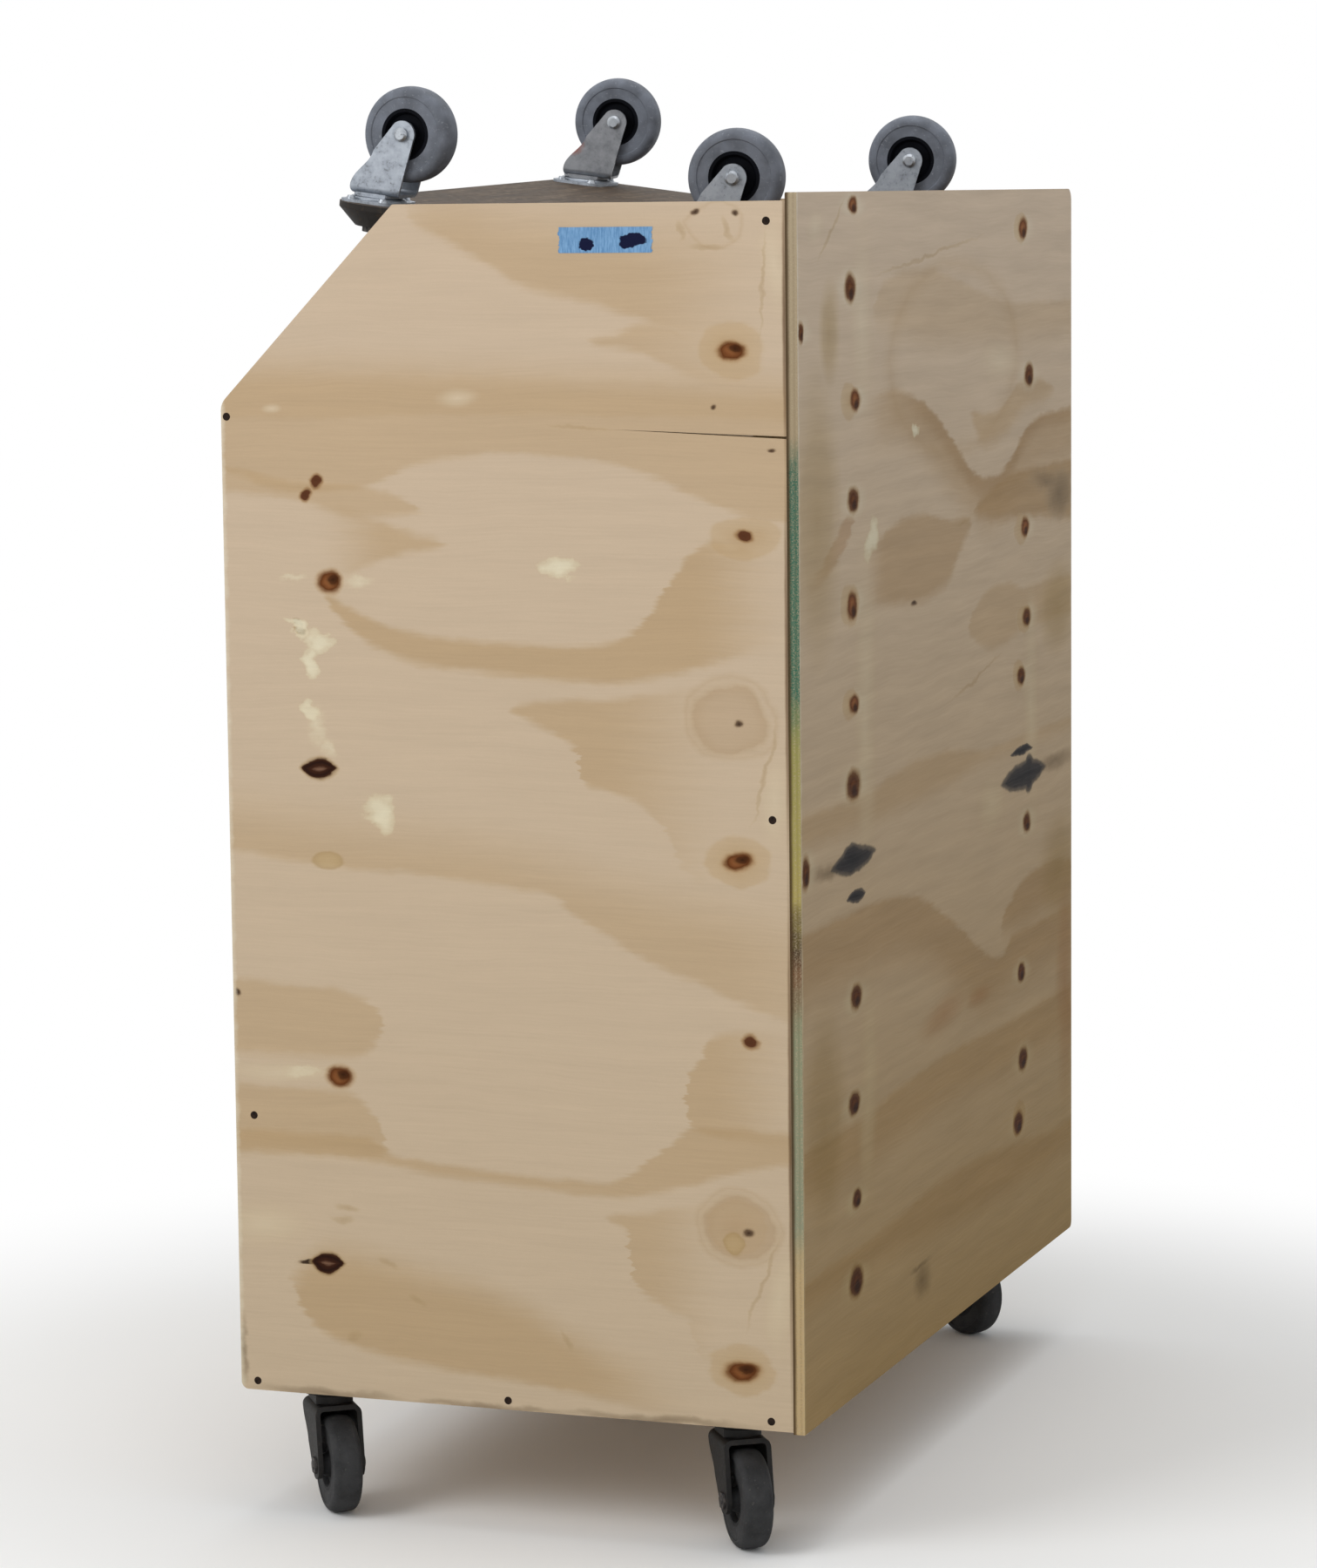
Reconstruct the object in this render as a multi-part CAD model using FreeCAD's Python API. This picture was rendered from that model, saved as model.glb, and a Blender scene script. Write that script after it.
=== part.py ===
import FreeCAD, Part
import math
import os

# Blanket storage cart: a plywood box on four swivel casters, open along the top and along
# the sloped front corner. A four wheel dolly is stowed upside down across its mouth.
# Millimetres. +Z is up, the sloped opening faces -Y, the back panel is at +Y, X is the width.
# The origin is on the ground under the middle of the box.

os.makedirs("parts", exist_ok=True)

Vec = FreeCAD.Vector
Place = FreeCAD.Placement
Turn = FreeCAD.Rotation

# Box sizes
CART_WIDTH = 1016.0      # across the cart, outside of the side panels
CART_DEPTH = 610.0       # front edge to the outside of the back panel
BACK_HEIGHT = 1219.0     # back panel, a full sheet width
BACK_RISE = 8.0          # back panel stands above the side panels
BACK_DROP = 2.0          # back panel hangs below the side panels
PANEL = 12.0             # side, back and front sheet
FLOOR_THICK = 19.0       # floor sheet
BATTEN = 38.0            # square corner battens and rack rails
SLOPE_RUN = 190.0        # sloped corner, measured back from the front edge
SLOPE_FALL = 197.0       # sloped corner, measured down from the top edge
SLOPE_ROUND = 18.0       # easing at the lower end of the slope
FRONT_STEP = 3.0         # front panel stops this far below the slope
TOE_ROUND = 8.0          # lower front corner of a side panel
BACK_ROUND = 14.0        # upper left corner of the back panel, worn round
BACK_NEAR_ROUND = 2.5    # upper right corner of the back panel
BACK_FOOT_ROUND = 8.0    # lower left corner of the back panel

# Split in the right side panel, running in from its rear edge
SPLIT_HEIGHT = 982.0     # above the panel's lower edge, at the rear edge
SPLIT_RISE = 7.0         # the tip lies this much higher
SPLIT_LENGTH = 182.0
SPLIT_MOUTH = 2.4

# Screws
SCREW_HEAD_R = 4.0
SCREW_R = 2.0
SCREW_SINK = 3.5         # depth of the countersunk head
SCREW_LENGTH = 40.0
LONG_SCREW = 46.0
SCREW_FRONT_LOW = 287.0  # heights of single screws above the side panel's lower edge
SCREW_REAR_MID = 610.0
SCREW_EDGE = 10.0        # front panel screw below the panel's top
SCREW_FLOOR_MID = -10.0  # place of the middle floor screw along the depth
FREE_FIT = 0.05          # radial clearance of every pin, bolt and screw

# Casters: sizes that the cart's and the dolly's casters share
WHEEL_D = 100.0
WALL_STEP = 1.0          # the side wall is set in by this much inside its ring
HUB_BOSS = 5.0           # wall of the hub around its bore
HUB_DISH = 5.0           # the hub's web is set in by this much from its rim
HUB_LIP = 3.5            # rim of the hub, measured in from the tyre
HUB_D = 54.0
HUB_WIDTH = 38.0
AXLE_D = 10.0
TRAIL = 31.0             # axle behind the swivel axis
PLATE_LENGTH = 76.0
PLATE_WIDTH = 60.0
PLATE_THICK = 3.0
PLATE_ROUND = 12.0
BOLT_LONG = 62.0         # bolt spacing along the plate
BOLT_WIDE = 36.0         # bolt spacing across the plate
BOLT_R = 3.0
BOLT_HEAD_R = 5.2
BOLT_HEAD = 3.5
BOLT_REACH = 10.0        # bolt length inside the board that carries the plate
DISH_R = 29.5            # ball race pressed into the plate
CROWN_R = 26.0           # ball race pressed into the fork
KINGPIN_R = 6.0
KINGPIN_HEAD_R = 10.5
KINGPIN_HEAD = 4.0
FORK_TOE = 23.5          # fork's reach in front of the swivel axis
FORK_HEEL = 33.0         # fork's reach behind the swivel axis, at the web
FORK_END_R = 14.5        # round end of a fork leg
SIDE_GAP = 0.5           # hub to fork leg
SWIVEL_GAP = 0.3         # between turning faces
AXLE_HEAD_R = 7.5
NUT_ACROSS = 16.0

# Casters under the cart: heavier forks, set lower under a deep ball race
BASE_CASTER_HEIGHT = 130.0    # mounting face to the tread
BASE_WEB_DEPTH = 19.0    # mounting face to the fork's web
BASE_DISH_FACE = 10.0    # mounting face to the underside of the plate's ball race
BASE_SHEET = 5.0         # fork sheet
BASE_BEND = 9.0          # outside bend between the fork's web and its legs
BASE_TYRE_WIDTH = 30.0
BASE_CROWN = 0.8         # fall of the tread from its middle to its shoulders
BASE_SHOULDER = 7.0      # rounding between tread and side wall
BASE_AXLE_HEAD = 2.5     # height of the axle's head and nut
BASE_AXLE_TAIL = 1.0     # axle standing out past its nut
BASE_HOOD = 3.0          # wall that closes the fork behind the wheel
HOOD_REACH = 27.0        # the wall reaches this far below the fork's web
HOOD_GAP = 1.5           # the wall clears the tread by at least this much

# Casters on the dolly
DOLLY_CASTER_HEIGHT = 125.0
DOLLY_WEB_DEPTH = 9.0
DOLLY_DISH_FACE = 5.5
DOLLY_SHEET = 3.0
DOLLY_BEND = 7.0
DOLLY_TYRE_WIDTH = 32.0
DOLLY_CROWN = 0.6
DOLLY_SHOULDER = 9.0
DOLLY_AXLE_HEAD = 5.0
DOLLY_AXLE_TAIL = 2.5
DOLLY_HOOD = 0.0         # these forks are open behind the wheel

# Where the cart's casters sit and which way they trail, in degrees from +X
BASE_INSET_SIDE = 58.0
BASE_INSET_FRONT = 74.0
BASE_INSET_BACK = 90.0
BASE_HEADINGS = {"front_right": 37.0, "rear_right": 35.0, "rear_left": 235.0, "front_left": 151.0}

# Dolly: deck, casters, and how it lies in the cart's mouth
DECK_LENGTH = 720.0
DECK_WIDTH = 432.0
DECK_THICK = 24.0
DECK_EDGE = 6.0          # square part of the deck's edge, the rest is bevelled
DECK_ROUND = 45.0
PAD_INSET = 8.0
PAD_THICK = 6.0
DOLLY_INSET_END = 54.5   # swivel axis in from the deck's end
DOLLY_INSET_SIDE = 36.0  # swivel axis in from the deck's long side
DOLLY_HEADINGS = {"front_right": 86.0, "front_left": 98.0, "rear_right": 97.0, "rear_left": 98.0}
DOLLY_SHIFT_X = -75.0
DOLLY_SHIFT_Y = -68.0
DOLLY_SINK = 13.0        # deck centre below the side panels' top edge
DOLLY_TILT_FRONT = 7.7   # front side lifted
DOLLY_TILT_SIDE = 1.8    # left side lifted

# Rack rails that carry the dolly, placed across the dolly's own frame
RAIL_FRONT_Y = -36.0
RAIL_REAR_Y = 150.0
REST_GAP = 0.2           # dolly pad to rail
CLEAT_LENGTH = 60.0
CLEAT_LEDGE = 10.0       # cleat stands out past each side of the rail
CLEAT_THICK = 18.0

# Derived sizes of the box
BOX_BOTTOM = BASE_CASTER_HEIGHT
SIDE_HEIGHT = BACK_HEIGHT - BACK_RISE - BACK_DROP
BOX_TOP = BOX_BOTTOM + SIDE_HEIGHT
HALF_WIDTH = CART_WIDTH / 2
HALF_DEPTH = CART_DEPTH / 2
INNER_X = HALF_WIDTH - PANEL
INNER_FRONT = -HALF_DEPTH + PANEL
INNER_BACK = HALF_DEPTH - PANEL
FRONT_HEIGHT = SIDE_HEIGHT - SLOPE_FALL - FRONT_STEP
FLOOR_TOP = BOX_BOTTOM + FLOOR_THICK

# Derived sizes of a caster
WHEEL_R = WHEEL_D / 2
AXLE_R = AXLE_D / 2
LEG_INSIDE = HUB_WIDTH / 2 + SIDE_GAP


class Caster:
    """Sizes that differ between the cart's casters and the dolly's."""

    def __init__(self, height, web_depth, dish_face, sheet, bend, tyre_width, crown, shoulder, head, tail, hood):
        self.depth = height - WHEEL_R
        self.web_depth = web_depth
        self.dish_face = dish_face
        self.sheet = sheet
        self.bend = bend
        self.tyre_width = tyre_width
        self.crown = crown
        self.shoulder = shoulder
        self.head = head
        self.tail = tail
        self.hood = hood
        self.leg_outside = LEG_INSIDE + sheet


BASE_CASTER = Caster(
    BASE_CASTER_HEIGHT, BASE_WEB_DEPTH, BASE_DISH_FACE, BASE_SHEET, BASE_BEND,
    BASE_TYRE_WIDTH, BASE_CROWN, BASE_SHOULDER, BASE_AXLE_HEAD, BASE_AXLE_TAIL,
    BASE_HOOD,
)
DOLLY_CASTER = Caster(
    DOLLY_CASTER_HEIGHT, DOLLY_WEB_DEPTH, DOLLY_DISH_FACE, DOLLY_SHEET, DOLLY_BEND,
    DOLLY_TYRE_WIDTH, DOLLY_CROWN, DOLLY_SHOULDER, DOLLY_AXLE_HEAD, DOLLY_AXLE_TAIL,
    DOLLY_HOOD,
)


def box(x0, x1, y0, y1, z0, z1):
    """Solid block between two opposite corners."""
    return Part.makeBox(x1 - x0, y1 - y0, z1 - z0, Vec(x0, y0, z0))


def rounded_wire(corners, to_space):
    """Closed wire through (u, v, radius) corners, each rounded by its own radius."""
    count = len(corners)
    enter = []
    leave = []
    middle = []
    for i in range(count):
        here = Vec(corners[i][0], corners[i][1], 0)
        before = Vec(corners[i - 1][0], corners[i - 1][1], 0) - here
        after = Vec(corners[(i + 1) % count][0], corners[(i + 1) % count][1], 0) - here
        radius = corners[i][2]
        before.normalize()
        after.normalize()
        half = math.acos(max(-1.0, min(1.0, before.dot(after)))) / 2
        back_off = radius / math.tan(half)
        inward = before + after
        inward.normalize()
        enter.append(here + before * back_off)
        leave.append(here + after * back_off)
        middle.append(here + inward * (radius / math.sin(half) - radius))
    edges = []
    for i in range(count):
        start = to_space(leave[i - 1])
        stop = to_space(enter[i])
        if (stop - start).Length > 1e-6:
            edges.append(Part.makeLine(start, stop))
        if corners[i][2] > 0:
            arc = Part.Arc(to_space(enter[i]), to_space(middle[i]), to_space(leave[i]))
            edges.append(arc.toShape())
    return Part.Wire(edges)


def flat_outline(length, width, radius, z):
    """Rounded rectangle wire, centred on the origin at height z."""
    a = length / 2
    b = width / 2
    corners = [(-a, -b, radius), (a, -b, radius), (a, b, radius), (-a, b, radius)]
    return rounded_wire(corners, lambda p: Vec(p.x, p.y, z))


def sheet_plate(length, width, radius, z0, z1):
    """Rounded rectangular plate between two heights."""
    face = Part.Face(flat_outline(length, width, radius, z0))
    return face.extrude(Vec(0, 0, z1 - z0))


def turned(points, axis):
    """Solid of revolution from a closed outline that lies on one side of the axis."""
    face = Part.Face(Part.makePolygon(points + [points[0]]))
    return face.revolve(Vec(0, 0, 0), axis, 360)


def cylinder(radius, z0, z1, x=0.0, y=0.0):
    """Upright cylinder between two heights."""
    return Part.makeCylinder(radius, z1 - z0, Vec(x, y, z0), Vec(0, 0, 1))


def screw(point, direction, length, extra=0.0):
    """Countersunk screw with its head flush at point. Extra widens it into a hole."""
    head = SCREW_HEAD_R + extra
    shank = SCREW_R + extra
    outline = [
        Vec(0, 0, -extra),
        Vec(head, 0, -extra),
        Vec(head, 0, 0.4),
        Vec(shank, 0, SCREW_SINK),
        Vec(shank, 0, length - SCREW_R + extra),
        Vec(0, 0, length + extra),
    ]
    body = turned(outline, Vec(0, 0, 1))
    body.Placement = Place(point, Turn(Vec(0, 0, 1), direction))
    return body


def drill(board, holes):
    """Board with every hole cut out of it."""
    for hole in holes:
        board = board.cut(hole)
    return board


def side_panel():
    """Right side panel, with the sloped front corner."""
    front = -HALF_DEPTH
    back = INNER_BACK
    slope_foot = BOX_TOP - SLOPE_FALL
    corners = [
        (front, BOX_BOTTOM, TOE_ROUND),
        (back, BOX_BOTTOM, 0.0),
        (back, BOX_TOP, 0.0),
        (front + SLOPE_RUN, BOX_TOP, 3.0),
        (front, slope_foot, SLOPE_ROUND),
    ]
    wire = rounded_wire(corners, lambda p: Vec(INNER_X, p.x, p.y))
    return Part.Face(wire).extrude(Vec(PANEL, 0, 0))


def split_wedge():
    """Thin wedge that opens the split from the rear edge."""
    level = BOX_BOTTOM + SPLIT_HEIGHT
    mouth = INNER_BACK + 1.0
    tip = Vec(INNER_X - 1, INNER_BACK - SPLIT_LENGTH, level + SPLIT_RISE)
    upper = Vec(INNER_X - 1, mouth, level + SPLIT_MOUTH / 2)
    lower = Vec(INNER_X - 1, mouth, level - SPLIT_MOUTH / 2)
    face = Part.Face(Part.makePolygon([tip, lower, upper, tip]))
    return face.extrude(Vec(PANEL + 2, 0, 0))


def back_panel():
    """Back panel, covering the rear edges of the side panels."""
    low = BOX_BOTTOM - BACK_DROP
    high = low + BACK_HEIGHT
    corners = [
        (-HALF_WIDTH, low, BACK_FOOT_ROUND),
        (HALF_WIDTH, low, 0.0),
        (HALF_WIDTH, high, BACK_NEAR_ROUND),
        (-HALF_WIDTH, high, BACK_ROUND),
    ]
    wire = rounded_wire(corners, lambda p: Vec(p.x, INNER_BACK, p.y))
    return Part.Face(wire).extrude(Vec(0, PANEL, 0))


def side_screw_points():
    """Head positions on the right side panel as (y, height above the lower edge)."""
    floor_row = FLOOR_THICK / 2
    front_edge = -HALF_DEPTH + PANEL / 2
    front_column = INNER_FRONT + BATTEN * 0.22
    rear_column = INNER_BACK - BATTEN / 2
    return [
        (front_edge, FRONT_HEIGHT - SCREW_EDGE),
        (front_column, SCREW_FRONT_LOW),
        (front_column - SCREW_R, floor_row),
        (SCREW_FLOOR_MID, floor_row),
        (rear_column - 2 * SCREW_R, floor_row),
        (rear_column + SCREW_R, SCREW_REAR_MID),
        (rear_column, SIDE_HEIGHT - BATTEN / 2),
    ]


def side_screws(side, extra=0.0):
    """Screws through one side panel. Side is 1 for right and -1 for left."""
    made = []
    for y, height in side_screw_points():
        point = Vec(side * HALF_WIDTH, y, BOX_BOTTOM + height)
        made.append(screw(point, Vec(-side, 0, 0), SCREW_LENGTH, extra))
    return made


def batten_screws(side, extra=0.0):
    """Screws driven from inside through the corner battens of one side."""
    x = side * (INNER_X - BATTEN / 2)
    made = []
    for share in (0.11, 0.43, 0.90):
        rear = Vec(x, INNER_BACK - BATTEN, BOX_BOTTOM + share * SIDE_HEIGHT)
        made.append(screw(rear, Vec(0, 1, 0), LONG_SCREW, extra))
    for share in (0.15, 0.55, 0.89):
        front = Vec(x, INNER_FRONT + BATTEN, BOX_BOTTOM + share * FRONT_HEIGHT)
        made.append(screw(front, Vec(0, -1, 0), LONG_SCREW, extra))
    return made


def build_box():
    """Panels, floor, battens and their screws. The floor is notched around the battens."""
    holes = {}
    for side in (1, -1):
        holes[side] = side_screws(side, FREE_FIT) + batten_screws(side, FREE_FIT)
    both = holes[1] + holes[-1]
    pieces = {}
    right = drill(side_panel(), side_screws(1, FREE_FIT))
    left = side_panel().mirror(Vec(0, 0, 0), Vec(1, 0, 0))
    pieces["side_panel_right"] = right.cut(split_wedge())
    pieces["side_panel_left"] = drill(left, side_screws(-1, FREE_FIT))
    pieces["back_panel"] = drill(back_panel(), batten_screws(1, FREE_FIT) + batten_screws(-1, FREE_FIT))
    front = box(-INNER_X, INNER_X, -HALF_DEPTH, INNER_FRONT, BOX_BOTTOM, BOX_BOTTOM + FRONT_HEIGHT)
    pieces["front_panel"] = drill(front, both)
    floor = box(-INNER_X, INNER_X, INNER_FRONT, INNER_BACK, BOX_BOTTOM, FLOOR_TOP)
    floor = drill(floor, side_screws(1, FREE_FIT) + side_screws(-1, FREE_FIT))
    pieces["floor_board"] = drill(floor, base_bolts(FREE_FIT))
    for name, side in (("right", 1), ("left", -1)):
        x0 = INNER_X - BATTEN if side > 0 else -INNER_X
        front_top = BOX_BOTTOM + FRONT_HEIGHT
        front_post = box(x0, x0 + BATTEN, INNER_FRONT, INNER_FRONT + BATTEN, BOX_BOTTOM, front_top)
        rear_post = box(x0, x0 + BATTEN, INNER_BACK - BATTEN, INNER_BACK, BOX_BOTTOM, BOX_TOP)
        pieces["floor_board"] = drill(pieces["floor_board"], [front_post, rear_post])
        pieces["corner_batten_front_" + name] = drill(front_post, holes[side])
        pieces["corner_batten_rear_" + name] = drill(rear_post, holes[side])
    pieces["side_screws"] = Part.makeCompound(side_screws(1) + side_screws(-1))
    pieces["batten_screws"] = Part.makeCompound(batten_screws(1) + batten_screws(-1))
    return pieces


# Casters are drawn hanging from a mounting face at z = 0, trailing towards +X, axle along Y.


def bolt_points():
    """The four bolt centres of a caster plate."""
    a = BOLT_LONG / 2
    b = BOLT_WIDE / 2
    return [(-a, -b), (a, -b), (a, b), (-a, b)]


def caster_plate(caster):
    """Top plate with its pressed ball race."""
    face = caster.dish_face
    plate = sheet_plate(PLATE_LENGTH, PLATE_WIDTH, PLATE_ROUND, -PLATE_THICK, 0.0)
    race = turned(
        [
            Vec(0, 0, -PLATE_THICK / 2),
            Vec(DISH_R, 0, -PLATE_THICK / 2),
            Vec(DISH_R, 0, -face + 1.2),
            Vec(DISH_R - 1.2, 0, -face),
            Vec(0, 0, -face),
        ],
        Vec(0, 0, 1),
    )
    plate = plate.fuse(race).removeSplitter()
    plate = plate.cut(cylinder(KINGPIN_R + FREE_FIT, -face - 1, 1.0))
    for x, y in bolt_points():
        plate = plate.cut(cylinder(BOLT_R + FREE_FIT, -PLATE_THICK - 1, 1.0, x, y))
    return plate


def plate_bolts(extra=0.0):
    """Four plate bolts, reaching up into the board above the plate."""
    made = []
    for x, y in bolt_points():
        shank = cylinder(BOLT_R + extra, -PLATE_THICK, BOLT_REACH + extra, x, y)
        if extra > 0:
            made.append(shank)
            continue
        head = Part.makeCone(
            BOLT_HEAD_R - 1.4, BOLT_HEAD_R, BOLT_HEAD, Vec(x, y, -PLATE_THICK - BOLT_HEAD), Vec(0, 0, 1)
        )
        made.append(shank.fuse(head).removeSplitter())
    return made


def kingpin(caster):
    """Rivet that holds the fork to the plate."""
    under_web = -(caster.web_depth + caster.sheet + SWIVEL_GAP)
    return turned(
        [
            Vec(0, 0, 0),
            Vec(KINGPIN_R, 0, 0),
            Vec(KINGPIN_R, 0, under_web),
            Vec(KINGPIN_HEAD_R, 0, under_web),
            Vec(KINGPIN_HEAD_R, 0, under_web - KINGPIN_HEAD / 2),
            Vec(KINGPIN_HEAD_R - 3.0, 0, under_web - KINGPIN_HEAD),
            Vec(0, 0, under_web - KINGPIN_HEAD),
        ],
        Vec(0, 0, 1),
    )


def fork_side(caster):
    """Outline of a fork leg seen from the side, as a face in the XZ plane."""
    axle_spot = Vec(TRAIL, 0, -caster.depth)
    top = -caster.web_depth
    reach = FORK_END_R
    drop = caster.depth - caster.web_depth
    left_touch = axle_spot + Vec(-0.669 * reach, 0, -0.743 * reach)
    right_touch = axle_spot + Vec(0.940 * reach, 0, 0.342 * reach)
    tip = axle_spot + Vec(0.391 * reach, 0, -0.921 * reach)
    shoulder = [
        Vec(-FORK_TOE + 1.5, 0, top),
        Vec(-FORK_TOE, 0, top - 0.14 * drop),
        Vec(-0.83 * FORK_TOE, 0, top - 0.28 * drop),
        Vec(-0.45 * FORK_TOE, 0, top - 0.44 * drop),
        Vec(0, 0, top - 0.70 * drop),
    ]
    back = Part.BSplineCurve()
    back.interpolate(shoulder)
    slant = Part.makeLine(shoulder[-1], left_touch)
    end = Part.Arc(left_touch, tip, right_touch)
    near = Part.makeLine(right_touch, Vec(FORK_HEEL, 0, top))
    lid = Part.makeLine(Vec(FORK_HEEL, 0, top), shoulder[0])
    return Part.Face(Part.Wire([back.toShape(), slant, end.toShape(), near, lid]))


def channel(half, top, bend, low):
    """Upside down U section, as a long block along X with rounded upper corners."""
    corners = [(-half, low, 0.0), (half, low, 0.0), (half, top, bend), (-half, top, bend)]
    length = 4 * (FORK_HEEL + FORK_END_R)
    wire = rounded_wire(corners, lambda p: Vec(-length / 2, p.x, p.y))
    return Part.Face(wire).extrude(Vec(length, 0, 0))


def fork_hood(caster):
    """Wall that closes a fork behind its wheel, between the rear edges of the legs."""
    root = caster.sheet / 2
    half = LEG_INSIDE + root
    web = -caster.web_depth
    side = fork_side(caster)
    side.translate(Vec(0, -half, 0))
    whole = side.extrude(Vec(0, 2 * half, 0))
    ahead = whole.copy()
    ahead.translate(Vec(caster.hood, 0, 0))
    reach = box(-2 * FORK_TOE, TRAIL, -half, half, web - HOOD_REACH, web - root)
    wheel_room = Part.makeCylinder(
        WHEEL_R + HOOD_GAP, 2 * half, Vec(TRAIL, -half, -caster.depth), Vec(0, 1, 0)
    )
    return whole.cut(ahead).common(reach).cut(wheel_room)


def fork(caster):
    """Pressed fork: a bent sheet with two tapered legs and a ball race on its web."""
    web = -caster.web_depth
    under = web - caster.sheet
    low = -caster.depth - FORK_END_R - 2.0
    reach = caster.leg_outside + 1.0
    outer = channel(caster.leg_outside, web, caster.bend, low)
    inner = channel(LEG_INSIDE, under, caster.bend - caster.sheet, low)
    side = fork_side(caster)
    side.translate(Vec(0, -reach, 0))
    body = outer.cut(inner).common(side.extrude(Vec(0, 2 * reach, 0)))
    if caster.hood > 0:
        body = body.fuse(fork_hood(caster)).removeSplitter()
    race_top = -(caster.dish_face + SWIVEL_GAP)
    race = turned(
        [
            Vec(0, 0, web - 1.0),
            Vec(CROWN_R, 0, web - 1.0),
            Vec(CROWN_R, 0, race_top - 1.2),
            Vec(CROWN_R - 1.2, 0, race_top),
            Vec(0, 0, race_top),
        ],
        Vec(0, 0, 1),
    )
    inside = box(-CROWN_R, CROWN_R, -LEG_INSIDE, LEG_INSIDE, under, 0.0)
    body = body.fuse(race.common(inside)).removeSplitter()
    body = body.cut(cylinder(KINGPIN_R + FREE_FIT, under - 1, 0.0))
    hole = Part.makeCylinder(
        AXLE_R + FREE_FIT, 2 * reach, Vec(TRAIL, -reach, -caster.depth), Vec(0, 1, 0)
    )
    return body.cut(hole)


def about_axle(points, depth):
    """Revolve (y, radius) points about the axle, which lies this deep under the mounting face."""
    outline = [Vec(radius, y, 0) for y, radius in points]
    solid = turned(outline, Vec(0, 1, 0))
    solid.translate(Vec(TRAIL, 0, -depth))
    return solid


def axle(caster):
    """Axle bolt with a round head, and its nut."""
    depth = caster.depth
    head = caster.head
    seat = caster.leg_outside + 0.1
    tail = -seat - head - caster.tail
    bolt = about_axle(
        [
            (tail, 0),
            (tail, AXLE_R - 0.8),
            (tail + 0.8, AXLE_R),
            (seat, AXLE_R),
            (seat, AXLE_HEAD_R),
            (seat + 0.6 * head, AXLE_HEAD_R),
            (seat + head, AXLE_HEAD_R - 0.5 * head),
            (seat + head, 0),
        ],
        depth,
    )
    ring = [
        Vec(NUT_ACROSS / math.sqrt(3) * math.cos(math.radians(60 * i)), 0,
            NUT_ACROSS / math.sqrt(3) * math.sin(math.radians(60 * i)))
        for i in range(7)
    ]
    nut = Part.Face(Part.makePolygon(ring)).extrude(Vec(0, head, 0))
    nut.translate(Vec(TRAIL, -seat - head, -depth))
    bore = Part.makeCylinder(
        AXLE_R + FREE_FIT, head + 2, Vec(TRAIL, -seat - head - 1, -depth), Vec(0, 1, 0)
    )
    return Part.makeCompound([bolt, nut.cut(bore)])


def hub(caster):
    """Wheel core: boss, dished web and rim."""
    boss = HUB_WIDTH / 2
    rim = caster.tyre_width / 2 - WALL_STEP
    outer = HUB_D / 2
    bore = AXLE_R + FREE_FIT
    web = rim - HUB_DISH
    half = [
        (boss, bore),
        (boss, bore + HUB_BOSS),
        ((boss + web) / 2, bore + 1.4 * HUB_BOSS),
        (web, bore + 1.8 * HUB_BOSS),
        (web, outer - 1.8 * HUB_LIP),
        (rim, outer - HUB_LIP),
        (rim, outer),
    ]
    mirrored = [(-y, radius) for y, radius in reversed(half)]
    return about_axle(half + mirrored, caster.depth)


def tyre(caster):
    """Tyre with stepped side walls and a slightly crowned tread."""
    half = caster.tyre_width / 2
    round_off = caster.shoulder
    depth = caster.depth
    inset = half - WALL_STEP
    seat = HUB_D / 2
    tread = half - round_off
    low = WHEEL_R - caster.crown
    ring = low - round_off - WALL_STEP

    def at(y, radius):
        return Vec(TRAIL + radius, y, -depth)

    slant = round_off * (1 - math.sqrt(0.5))
    side = at(half, low - round_off)
    mid = at(half - slant, low - slant)
    rim = at(tread, low)
    other_rim = at(-tread, low)
    other_mid = at(-half + slant, low - slant)
    other_side = at(-half, low - round_off)
    edges = [
        Part.makeLine(at(inset, seat), at(inset, ring - WALL_STEP)),
        Part.makeLine(at(inset, ring - WALL_STEP), at(half, ring)),
        Part.makeLine(at(half, ring), side),
        Part.Arc(side, mid, rim).toShape(),
        Part.Arc(rim, at(0.0, WHEEL_R), other_rim).toShape(),
        Part.Arc(other_rim, other_mid, other_side).toShape(),
        Part.makeLine(other_side, at(-half, ring)),
        Part.makeLine(at(-half, ring), at(-inset, ring - WALL_STEP)),
        Part.makeLine(at(-inset, ring - WALL_STEP), at(-inset, seat)),
        Part.makeLine(at(-inset, seat), at(inset, seat)),
    ]
    face = Part.Face(Part.Wire(edges))
    return face.revolve(Vec(TRAIL, 0, -depth), Vec(0, 1, 0), 360)


def placed(shape, place):
    """Copy of a shape moved to a placement."""
    moved = shape.copy()
    moved.Placement = place.multiply(moved.Placement)
    return moved


def base_places():
    """Mounting place of each of the cart's casters, before it swivels."""
    x = HALF_WIDTH - BASE_INSET_SIDE
    front = -HALF_DEPTH + BASE_INSET_FRONT
    back = HALF_DEPTH - BASE_INSET_BACK
    spots = {
        "front_right": Vec(x, front, BOX_BOTTOM),
        "front_left": Vec(-x, front, BOX_BOTTOM),
        "rear_right": Vec(x, back, BOX_BOTTOM),
        "rear_left": Vec(-x, back, BOX_BOTTOM),
    }
    return {name: Place(spot, Turn()) for name, spot in spots.items()}


def base_bolts(extra=0.0):
    """Bolts of all the cart's caster plates."""
    made = []
    for place in base_places().values():
        made.extend(placed(bolt, place) for bolt in plate_bolts(extra))
    return made


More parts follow.
